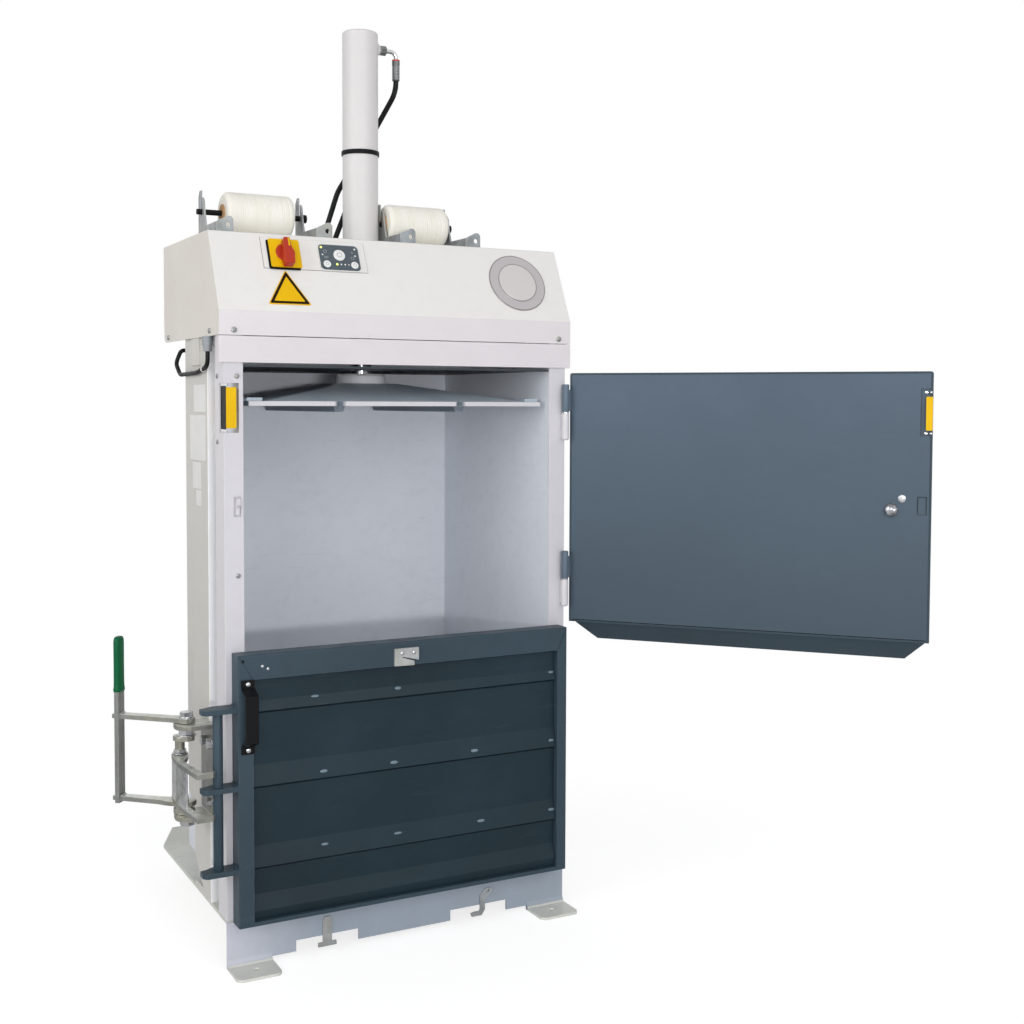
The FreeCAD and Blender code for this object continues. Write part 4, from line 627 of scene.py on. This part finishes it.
def lathe(bm, profile, frame, segments=48, closed=True):
    """A turned form from (radius, height) points about the frame's Z."""
    rows = []
    for r, z in profile:
        if r < 1e-6:
            rows.append([bm.verts.new(frame @ Vector((0, 0, z)))])
        else:
            angles = [2 * math.pi * i / segments for i in range(segments)]
            rows.append([bm.verts.new(frame @ Vector((r * math.cos(t), r * math.sin(t), z)))
                         for t in angles])
    pairs = list(zip(rows, rows[1:]))
    if closed:
        pairs.append((rows[-1], rows[0]))
    for a, b in pairs:
        if len(a) == 1 and len(b) == 1:
            continue
        for i in range(segments):
            k = (i + 1) % segments
            if len(a) == 1:
                bm.faces.new((a[0], b[i], b[k]))
            elif len(b) == 1:
                bm.faces.new((a[i], a[k], b[0]))
            else:
                bm.faces.new((a[i], a[k], b[k], b[i]))


def turned(name, profile, frame, key, body, segments=48):
    """A turned piece: a ring where its profile keeps off the axis, solid where it doesn't."""
    bm = bmesh.new()
    lathe(bm, profile, frame, segments, closed=profile[0][0] > 1e-6)
    return close_piece(name, bm, key, body)


def panel_piece(name, outline, z0, z1, frame, key, body, bevel=0.0):
    """A piece that is one prism over an outline."""
    bm = bmesh.new()
    slab(bm, outline, z0, z1, frame)
    return close_piece(name, bm, key, body, bevel=bevel)


def ring_piece(name, outer, inner, z0, z1, frame, key, body, bevel=0.0):
    """A piece that is one prism between two outlines."""
    bm = bmesh.new()
    ring_slab(bm, outer, inner, z0, z1, frame)
    return close_piece(name, bm, key, body, bevel=bevel)


def dome(r, h, lift=0.0):
    """The profile of a low domed head."""
    return [(0, lift), (r, lift), (r, lift + h * 0.35), (r * 0.92, lift + h * 0.62),
            (r * 0.7, lift + h * 0.88), (r * 0.35, lift + h), (0, lift + h)]


def hexagon(across, turn):
    """A hexagon by its width across flats."""
    r = across / math.sqrt(3)
    return [(r * math.cos(math.radians(a + turn)), r * math.sin(math.radians(a + turn)))
            for a in range(0, 360, 60)]


def nut(name, frame, across, height, key, body, turn, washer=True):
    """A hexagon nut or head, with a washer a fifth of its height."""
    bm = bmesh.new()
    base = 0.0
    if washer:
        lathe(bm, [(0, 0), (across * 0.66, 0), (across * 0.66, height * 0.2), (0, height * 0.2)],
              frame, 32, False)
        base = height * 0.2
    slab(bm, hexagon(across, turn), base, height, frame)
    return close_piece(name, bm, key, body, bevel=0.9)


def bead(name, points, r, key, body, seed):
    """A run of weld: overlapping small ripples along a line."""
    rng = random.Random(seed)
    bm = bmesh.new()
    spots = [Vector(p) for p in points]
    for a, b in zip(spots, spots[1:]):
        steps = max(2, int((b - a).length / (r * 0.8)))
        for i in range(steps):
            p = a.lerp(b, i / (steps - 1))
            size = r * rng.uniform(0.85, 1.15)
            ball = bmesh.ops.create_icosphere(bm, subdivisions=1, radius=size)
            bmesh.ops.translate(bm, vec=p, verts=ball["verts"])
    return close_piece(name, bm, key, body, smooth=80)


# ---------------- controls and badge

# Places on the control slope: x, and the height above the fold.
COVER_AT, PANEL_AT, SWITCH_AT = (-182, 123), (-129.5, 117), (-247, 120)
SIGN_AT, BADGE_AT = (-250.5, 49), (285, 84)
# The panel's lamps: place on it, finish and radius.
PANEL_LAMPS = [(-37.5, 23.0, "led_on", 2.6), (-7.6, -16, "led_on", 2.6),
               (-36.5, 5.8, "led_off", 1.9), (36.5, 22.0, "led_off", 2.1),
               (35.5, 5.8, "led_off", 1.9), (1.5, -16, "led_off", 1.9),
               (10, -16, "led_off", 1.9), (18, -16, "led_off", 1.4)]


def make_panel():
    """The control panel: a rimmed film with three keys, indicator lamps and plain marks."""
    panel = on_slope(*PANEL_AT)
    film, key, print_top = 4.9, 7.0, 5.2            # heights above the slope
    face = panel_piece("panel_face", rounded(box2(-44, -30, 44, 30), 9), 2.0, 5.0, panel, "panel",
                       "frame", 0.4)
    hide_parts("control_panel")
    ring_piece("panel_rim", rounded(box2(-45.8, -31.8, 45.8, 31.8), 10.8),
               rounded(box2(-43.8, -29.8, 43.8, 29.8), 8.8), 1.9, 5.1, panel, "panel_rim",
               "frame", 0.3)
    for name, x, y, r in (("start", 0, 5.5, 12.6), ("left", -29.5, -16.5, 8.0),
                          ("right", 31, -16.5, 8.0)):
        spot = panel @ Matrix.Translation((x, y, 0))
        turned("panel_key_" + name, [(0, film), (r, film), (r, 6.2), (r - 0.8, 6.9),
                                     (r - 2.2, key), (0, 7.1)], spot, "key", "frame")
        turned("panel_mark_" + name, [(r * 0.36, key), (r * 0.46, key), (r * 0.46, 7.3),
                                      (r * 0.36, 7.3)], spot, "key_mark", "frame", 32)
    for i, (x, y, finish, r) in enumerate(PANEL_LAMPS):
        turned("panel_lamp_%d" % i, dome(r, 1.0, film), panel @ Matrix.Translation((x, y, 0)),
               finish, "frame", 20)
    bm = bmesh.new()
    for x, y in ((-30, 13.5), (29, 0)):
        lathe(bm, [(3.0, film), (3.8, film), (3.8, print_top), (3.0, print_top)],
              panel @ Matrix.Translation((x, y, 0)), 24)
    for x, y, w in ((-29, 1.5, 4.5), (-29, -2.0, 4.5), (29, 15, 2.0), (30.5, 11.5, 2.0)):
        slab(bm, box2(x - w, y - 0.45, x + w, y + 0.45), film, print_top, panel)
    close_piece("panel_print", bm, "key_mark", "frame")


def make_switch():
    """The main switch: a black underlay, a round base with its handle, and the pointer."""
    switch = on_slope(*SWITCH_AT)
    panel_piece("switch_underlay", rounded(box2(-37, -37, 30, 31), 4), 2.05, 3.6, switch, "black",
                "frame", 0.3)
    bm = bmesh.new()
    lathe(bm, [(0, 6.05), (20.5, 6.05), (20.5, 8.2), (19.4, 10.2), (0, 10.6)], switch, 64, False)
    handle = [(-7, 24.5), (-8.5, 2), (-11, -8), (-10, -35), (10, -35), (12, -8), (8, 0), (6, 24.5)]
    slab(bm, rounded(handle, 2.4, 3), 10.2, 29.5, switch)
    knob = close_piece("switch_handle", bm, "red", "switch", bevel=1.6)
    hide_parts("switch_knob")
    panel_piece("switch_pointer", rounded(box2(1.0, 4, 4.6, 22.5), 0.8), 29.3, 29.8, switch,
                "yellow", "switch")
    # Painted shadow: a thin grey ring in the gap round the control cover.
    ring_piece("cover_gap_shade", box2(-113.1, -38.1, 113.1, 34.1),
               box2(-112.05, -37.05, 112.05, 33.05), -0.4, 0.35, on_slope(*COVER_AT), "seam",
               "frame")


def make_sign():
    """A plain yellow triangle with a dark border."""
    sign = on_slope(*SIGN_AT)
    corners = [(-46.5, -38.3), (43.6, -38.3), (-1.2, 40.5)]
    middle, reach = Vector((-1.4, -12.4)), 25.6     # its incircle

    def pulled(by):
        return [tuple(middle + (Vector(c) - middle) * (1 - by / reach)) for c in corners]

    film = panel_piece("sign_film", rounded(pulled(0), 2.2), 0.1, 2.3, sign, "yellow_sign",
                       "frame", 0.3)
    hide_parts("warning_plate")
    ring_piece("sign_border", rounded(pulled(1.7), 2.0), rounded(pulled(7.0), 1.0), 2.2, 2.6,
               sign, "sign_black", "frame")


def make_badge():
    """A plain silver face and two thin rings on the badge disc."""
    badge = on_slope(*BADGE_AT)
    face = turned("badge_face", [(0, 3.5), (44.5, 3.2), (45.2, 3.4), (44.4, 4.0), (0, 4.3)], badge,
                  "silver", "frame", 96)
    for polygon in face.data.polygons:
        polygon.use_smooth = False
    turned("badge_rim", [(66.6, 0.3), (69.0, 0.3), (69.0, 1.5), (68.2, 2.2), (66.6, 2.2)], badge,
           "badge_edge", "frame", 96)
    turned("badge_groove", [(45.4, 2.0), (47.0, 2.0), (47.0, 3.3), (45.4, 3.3)], badge,
           "badge_edge", "frame", 96)


# ---------------- strap rolls

ROLL_SEGMENTS, ROLL_RINGS = 128, 120
ROLL_RADIUS, ROLL_CORE, ROLL_SHOULDER = 45.6, 19.4, 11.0
WIND, CROSS_WIND, LAYER = 5.1, 11.3, 2.7        # mm along the roll from one to the next
WIND_DEEP, CROSS_DEEP, UNEVEN = 0.42, 0.22, 0.14


def make_roll(name, x0, width, body, node):
    """A coil of strap: rounded shoulders and fine layers crossing at a shallow helix."""
    radius, shoulder = ROLL_RADIUS, ROLL_SHOULDER
    y, z = ROLL_AT
    rng = random.Random(int(width))
    end = [(ROLL_CORE, 0.8, 0), (26, 0.8, 0), (32, 0.8, 0)]     # radius, place, ridged or not
    for i in range(9):
        t = math.pi / 2 * i / 8
        end.append((radius - shoulder + shoulder * math.sin(t), shoulder * (1 - math.cos(t)), 1))
    profile = (end + [(radius, shoulder + (width - 2 * shoulder) * i / ROLL_RINGS, 1)
                      for i in range(1, ROLL_RINGS)]
               + [(r, width - s, ridged) for r, s, ridged in reversed(end)])
    jitter = [rng.uniform(-UNEVEN, UNEVEN) for _ in range(64)]
    bm = bmesh.new()
    rows = []
    for r, s, ridged in profile:
        row = []
        for k in range(ROLL_SEGMENTS):
            t = 2 * math.pi * k / ROLL_SEGMENTS
            reach = r
            if ridged:
                wave = 0.5 + 0.5 * math.cos(2 * math.pi * (s / WIND) + t)
                cross = 0.5 + 0.5 * math.cos(2 * math.pi * (s / CROSS_WIND) - 2 * t)
                reach -= (WIND_DEEP * wave ** 3 + CROSS_DEEP * cross ** 4
                          + jitter[int(s / LAYER) % 64])
            row.append(bm.verts.new((x0 + s, y + reach * math.cos(t), z + reach * math.sin(t))))
        rows.append(row)
    for a, b in zip(rows, rows[1:] + rows[:1]):
        for k in range(ROLL_SEGMENTS):
            n = (k + 1) % ROLL_SEGMENTS
            bm.faces.new((a[k], a[n], b[n], b[k]))
    piece = close_piece(name, bm, "strap", body, smooth=60)
    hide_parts(node)


# ---------------- cylinder

def join_loops(bm, loops):
    """A skin over loops of vertices, closed at both ends."""
    count = len(loops[0])
    for a, b in zip(loops, loops[1:]):
        for k in range(count):
            n = (k + 1) % count
            bm.faces.new((a[k], a[n], b[n], b[k]))
    bm.faces.new(loops[0])
    bm.faces.new(loops[-1])


def tube(bm, path, r, segments=20):
    """A closed tube along points that lie in one plane across Y."""
    loops, over = [], Vector((0, 1, 0))
    for i, p in enumerate(path):
        a, b = Vector(path[max(0, i - 1)]), Vector(path[min(len(path) - 1, i + 1)])
        up = (b - a).normalized().cross(over)
        angles = [2 * math.pi * k / segments for k in range(segments)]
        loops.append([bm.verts.new(Vector(p) + over * r * math.cos(t) + up * r * math.sin(t))
                      for t in angles])
    join_loops(bm, loops)


def make_cylinder_details():
    """The return port: weld, socket, union nut, bent pipe and crimped ferrule."""
    x, y, z = PORT
    port, drop, bend = along_x(0, y, z), upright(x, y, z - 21), 13.0
    turned("port_weld", [(12, 37.5), (15.5, 37.5), (14.6, 41.0), (13.2, 43.2), (12, 43.2)], port,
           "barrel", "frame")
    turned("port_socket", [(0, 36), (10.5, 36), (10.5, 46.5), (9.2, 48), (0, 48)], port,
           "zinc_dull", "frame", 32)
    panel_piece("port_nut", hexagon(19, 14), 47.6, 62.0, port, "dark_steel", "frame", 1.2)
    path = [(61, y, z), (66, y, z)]
    for i in range(13):
        t = math.pi / 2 * i / 12
        path.append((x - bend + bend * math.sin(t), y, z - bend + bend * math.cos(t)))
    bm = bmesh.new()
    tube(bm, path + [(x, y, z - 19)], 4.9)
    pipe = close_piece("port_pipe", bm, "steel", "frame")
    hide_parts("port_fitting")
    turned("port_ring", [(0, 0.6), (8.6, 0.6), (8.9, 1.2), (8.9, 3.6), (8.4, 4.2), (0, 4.2)], drop,
           "ring_red", "frame", 32)
    sleeve = [(0, -43), (7.9, -43)]
    for i in range(9):
        at = -42 + i * 3.6
        sleeve += [(8.6, at), (8.6, at + 2.3), (8.1, at + 2.7), (8.1, at + 3.4)]
    sleeve += [(9.0, -8.6), (9.0, 0.4), (0, 0.6)]
    turned("port_sleeve", sleeve, drop, "dark_steel", "frame", 32)


# ---------------- doors

def make_loading_door_details():
    """The latch's cap, the slot beside it with painted shade round its edge, a strip of painted
    shade along the lip's fold, and the key's bolts.
    """
    turned("latch_cap", [(0, 2.6), (13.9, 2.6), (13.8, 4.4), (12.9, 6.4), (11.0, 8.2), (7.6, 9.5),
                         (3.6, 10.1), (0, 10.2)], on_door(*LATCH), "latch", "latch", 56)
    slot, rim = on_door(*CATCH_SLOT), box2(-9.45, -18.95, 9.45, 18.95)
    panel_piece("slot_floor", rim, -5.0, -3.0, slot, "door", "loading_door")
    # Painted shade: a dark ring round the inside of the slot's edge.
    ring_piece("slot_shade_ring", rim, box2(-7.7, -18.6, 7.7, 17.2), -3.1, -2.2, slot, "infill",
               "loading_door")
    # Painted shade: a thin black strip in the crease where the lower lip is folded.
    panel_piece("lip_fold_shade", box2(-380, -0.9, 380, 0.9), -0.75, -0.3, on_door(-9, 652.6), "black",
                "loading_door")
    bm = bmesh.new()
    for z in (1164, 1080):
        lathe(bm, dome(3.1, 3.4, -1.2), on_door(-393.4, z), 24, False)
    close_piece("key_bolts", bm, "steel", "loading_door")


# Plug welds on the infill's folds: x, y, z in mm, and the lean of the sheet there in degrees.
WELD_SPOTS = [(-196.5, 2.8, 388.2, 12), (-41.0, 2.5, 386.8, 12), (147.8, 2.9, 388.8, 12),
              (339.0, 3.0, 389.0, 12), (164.8, 4.5, 232.2, 12), (-31.1, 5.0, 234.3, 12),
              (-193.5, 5.3, 235.9, 12), (341.0, 4.5, 232.1, 12), (340.0, 6.9, 541.4, 24),
              (-30.0, 7.1, 541.9, 24), (-213.1, 7.8, 543.4, 24)]


def make_lower_door_details():
    """Mitre welds, rivets and screws on the lower door, and its plug and bracket welds."""
    bm = bmesh.new()
    start, line = Vector((2.5, -2.5)), Vector((31, -50)).normalized()
    side = Vector((line.y, -line.x)) * 0.55         # half a weld's width, across it
    for corner, reach, way in ((DOOR_LEFT, 31, 1), (DOOR_RIGHT, 24, -1)):
        end = Vector((reach, -50))
        slab(bm, [(way * p.x, p.y) for p in (start + side, end + side, end - side, start - side)],
             -0.2, 0.35, at_front(corner, DOOR_TOP, DOOR_FACE))
    close_piece("mitre_welds", bm, "infill", "lower_door")
    # Painted shade: a black disc for the inside of a small hole near the top left corner.
    turned("corner_hole_shade", [(0, -0.1), (3.4, -0.1), (3.4, 0.25), (0, 0.25)],
           at_front(DOOR_LEFT + 10, DOOR_TOP - 12, DOOR_FACE), "black", "lower_door", 24)
    for i, (x, z) in enumerate(((-327.2, 616.7), (-315.8, 610.8))):
        turned("rail_rivet_%d" % i, dome(3.4, 2.0), at_front(x, z, DOOR_FACE), "steel",
               "lower_door", 24)
    for i, z in enumerate((584, 453)):
        turned("handle_screw_%d" % i, dome(5.2, 3.2), at_front(-358, z, DOOR_FACE - 5), "steel",
               "lower_door", 28)
    for i, x in enumerate((-28, -1)):
        turned("keeper_screw_%d" % i, dome(4.2, 2.6), at_front(x, 618, DOOR_FACE - 6), "steel",
               "lower_door", 24)
    bm = bmesh.new()
    rng = random.Random(5)
    for x, y, z, tilt in WELD_SPOTS:
        spot = at_front(x, z, y) @ Matrix.Rotation(math.radians(-tilt), 4, "X")
        wide, high = rng.uniform(6.5, 9.0), rng.uniform(2.4, 3.4)
        ball = bmesh.ops.create_uvsphere(bm, u_segments=20, v_segments=10, radius=1.0)
        bmesh.ops.transform(bm, matrix=spot @ Matrix.Diagonal((wide, high, 0.55, 1)),
                            verts=ball["verts"])
    close_piece("rib_welds", bm, "weld_mark", "lower_door")
    x = DOOR_LEFT - 1
    for i, z in enumerate(BRACKETS):
        for end, up, seed in (("", 5.4, i), ("_low", -5.4, i + 10)):
            bead("bracket_weld%s_%d" % (end, i), [(x, 1.0, z + up), (x, 32.0, z + up)], 2.1,
                 "slate", "lower_door", seed)


# ---------------- frame and lock fittings

# Blank labels on the left post: their sides in Y and in Z.
LABELS = [(158, 250, 1119, 1176), (160, 281, 1018, 1113), (196, 262, 958, 1014),
          (196, 236, 922, 956)]


def make_labels():
    """Blank labels on the left post, each with a thin dirty edge."""
    post = at_left(0, 0, WALL)
    for i, (y0, y1, z0, z1) in enumerate(LABELS):
        film = rounded(box2(-y1, z0, -y0, z1), 2.5)
        panel_piece("post_label_%d" % i, film, -0.05, 0.35, post, "label", "frame")
        ring_piece("post_label_edge_%d" % i,
                   rounded(box2(-y1 - 0.8, z0 - 0.8, -y0 + 0.8, z1 + 0.8), 3), film, -0.05, 0.25,
                   post, "label_edge", "frame")


def make_lock_details():
    """The nuts and welds of the door lock."""
    x, y = CRANK
    nut("crank_nut_high", upright(x, y, 456.3), 30, 12, "steel", "lever", 12)
    nut("crank_nut_low", upright(x, y, 270), 28, 13.6, "steel", "lever", 25, washer=False)
    nut("claw_nut", upright(*crank_pin(), 418.6), 24, 9, "steel", "lever", 5)
    for i, z in enumerate((289, 477)):
        bead("support_weld_%d" % i, [(WALL - 6, y - 36, z), (WALL - 6, y + 30, z)], 2.6, "zinc",
             "frame", seed=20 + i)
    along, across = pointing(LEVER_TURN)
    middle = Vector(CRANK) + along * 146
    a, b = middle + across * 9, middle - across * 9
    for i, z in enumerate((493.4, 321.4)):
        bead("arm_weld_%d" % i, [(a.x, a.y, z), (b.x, b.y, z)], 2.0, "zinc", "lever", seed=30 + i)


def make_grip():
    """The soft sleeve on the lever: an oval with full sides, a round top and a flared foot."""
    along, across = pointing(LEVER_TURN)
    middle = Vector(CRANK) + along * 153
    thick, wide = 7.9, 14.6         # half its size along and across the lever's arms
    rows = [(539, 1.00), (540.5, 1.08), (545, 1.08), (549, 1.01), (556, 0.985), (600, 0.97),
            (638, 0.985), (644, 0.975), (648, 0.93), (651, 0.84), (653, 0.68), (653.9, 0.40)]
    count, power = 48, 2 / 2.6
    bm = bmesh.new()
    loops = []
    for z, size in rows:
        loop = []
        for k in range(count):
            t = 2 * math.pi * k / count
            c, s = math.cos(t), math.sin(t)
            p = (middle + along * thick * size * math.copysign(abs(c) ** power, c)
                 + across * wide * size * math.copysign(abs(s) ** power, s))
            loop.append(bm.verts.new((p.x, p.y, z)))
        loops.append(loop)
    join_loops(bm, loops)
    sleeve = close_piece("grip_sleeve", bm, "green", "lever", smooth=50)
    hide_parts("lever_grip")


def make_claw_shell():
    """The bent plate that joins the claw's two flanges and wraps the crank pin."""
    pin, (ahead, side) = crank_pin(), pointing(CLAW_TURN)
    outer = [(112, -26.6), (64, -26.6), (40, -23.4), (20, -20.6), (0, -16.7), (-5, -15.6),
             (-8.8, -13.6), (-11.4, -10.4), (-12.8, -6.4), (-13.6, 0)]
    inner = [(-9.8, 0), (-9.2, -5.4), (-8.0, -8.6), (-6.2, -10.6), (-3.6, -11.9), (0.6, -12.9),
             (20.6, -16.8), (40.6, -19.6), (64.4, -22.8), (112, -22.8)]
    bm = bmesh.new()
    slab(bm, [pin + ahead * s + side * w for s, w in outer + inner], 331.9, 408.1, Matrix())
    close_piece("claw_shell", bm, "zinc_bright", "claw", smooth=40, bevel=0.6)


def make_switch_side():
    """The black back of the interlock switch, seen from the left past the column's corner."""
    panel_piece("interlock_side", rounded(box2(-84.5, 1085.5, -35.0, 1171.5), 2), 385.4, 386.4,
                at_left(0, 0, 0), "black", "frame", 0.3)


def make_conduit_tie():
    """A nylon tie round the conduit, with its head."""
    tie = Matrix.Translation((-398.2, 152, 1206.5)) @ Matrix.Rotation(math.radians(98), 4, "X")
    turned("conduit_tie", [(4.6, -2), (6.0, -2), (6.0, 2), (4.6, 2)], tie, "nylon", "frame", 28)
    panel_piece("conduit_tie_head", box2(-3, 5.2, 3, 10.5), -2.2, 2.2, tie, "nylon", "frame", 0.5)


make_panel()
make_switch()
make_sign()
make_badge()
make_roll("coil_left", -322, 150, "strap_left", "strap_roll_left")
make_roll("coil_right", 50, 146, "strap_right", "strap_roll_right")
make_cylinder_details()
make_loading_door_details()
make_lower_door_details()
make_labels()
make_lock_details()
make_grip()
make_claw_shell()
make_switch_side()
make_conduit_tie()


# ---------------- light and ground

WORLD_TINT, WORLD_POWER = (0.985, 0.99, 1.0, 1), 0.45
FLOOR_TINT = (0.82, 0.82, 0.82, 1)              # the floor as the object's faces see it
FLOOR_SHADE, FLOOR_GLOW = 0.42, 0.76            # what the camera sees: a matt share, a white one
FLOOR_RADIUS, FLOOR_NEAR, FLOOR_FAR = 14, 0.75, 1.5     # m; plain white from the last one on
# Name, place in m, size in m, power in W, and the spot that it points at.
LAMPS = [("key", (0.6, -5.2, 3.4), 3.6, 48, (0, 0.2, 0.9)),
         ("fill", (-5.4, -1.7, 2.4), 3.2, 86, (0, 0.2, 0.9)),
         ("front", (-0.95, -4.5, 1.07), (1.0, 0.2), 44, (0, 0.3, 1.1)),
         ("side", (-2.9, -4.0, 1.5), 1.3, 20, (0, 0.3, 1.0))]


def make_world():
    """A pale world that lights the object, and shows white to the camera and in reflections."""
    world = bpy.data.worlds.new("world")
    bpy.context.scene.world = world
    tree = Tree(world)
    tree.nodes.clear()
    rays = tree.add("LightPath").outputs
    seen = tree.out("Math", {0: rays["Is Camera Ray"], 1: rays["Is Glossy Ray"]},
                    operation="MAXIMUM")
    seen = tree.out("Math", {0: seen, 1: rays["Is Transmission Ray"]}, operation="MAXIMUM")
    light = tree.out("Background", {0: WORLD_TINT, 1: WORLD_POWER})
    white = tree.out("Background", {0: (1, 1, 1, 1), 1: 1.0})
    tree.add("OutputWorld", {0: tree.out("MixShader", {0: seen, 1: light, 2: white})})


def make_ground():
    """The floor. Close to the machine it takes its shadow; further out it is plain white."""
    bm = bmesh.new()
    bmesh.ops.create_circle(bm, cap_ends=True, radius=FLOOR_RADIUS, segments=96)
    mesh = bpy.data.meshes.new("ground")
    bm.to_mesh(mesh)
    bm.free()
    ground = bpy.data.objects.new("ground", mesh)
    bpy.context.scene.collection.objects.link(ground)
    mat = bpy.data.materials.new("ground")
    tree = Tree(mat)
    tree.nodes.clear()
    matt = tree.out("BsdfDiffuse", {0: (*[FLOOR_SHADE] * 3, 1)})
    near = tree.out("AddShader", {0: matt, 1: tree.out("Emission", {1: FLOOR_GLOW})})
    far = tree.out("Emission", {1: 1.0})
    where = tree.add("TexCoord").outputs["Object"]
    away = tree.add("VectorMath", {0: where}, operation="LENGTH").outputs["Value"]
    share = tree.out("MapRange", {"Value": away, "From Min": FLOOR_NEAR, "From Max": FLOOR_FAR},
                     interpolation_type="SMOOTHSTEP")
    mix = tree.out("MixShader", {0: tree.add("LightPath").outputs["Is Camera Ray"],
                                 1: tree.out("BsdfDiffuse", {0: FLOOR_TINT}),
                                 2: tree.out("MixShader", {0: share, 1: near, 2: far})})
    tree.add("OutputMaterial", {0: mix})
    mesh.materials.append(mat)


def make_lamp(name, at, size, power, target):
    """A round lamp, or an oval one where its size is a pair."""
    data = bpy.data.lights.new(name, "AREA")
    if isinstance(size, tuple):
        data.shape = "ELLIPSE"
        data.size, data.size_y = size
    else:
        data.shape = "DISK"
        data.size = size
    data.energy = power
    obj = bpy.data.objects.new(name, data)
    bpy.context.scene.collection.objects.link(obj)
    obj.location = at
    obj.rotation_euler = (Vector(target) - Vector(at)).to_track_quat("-Z", "Y").to_euler()


make_world()
make_ground()
for lamp in LAMPS:
    make_lamp(*lamp)
bpy.context.scene.view_settings.view_transform = "Standard"
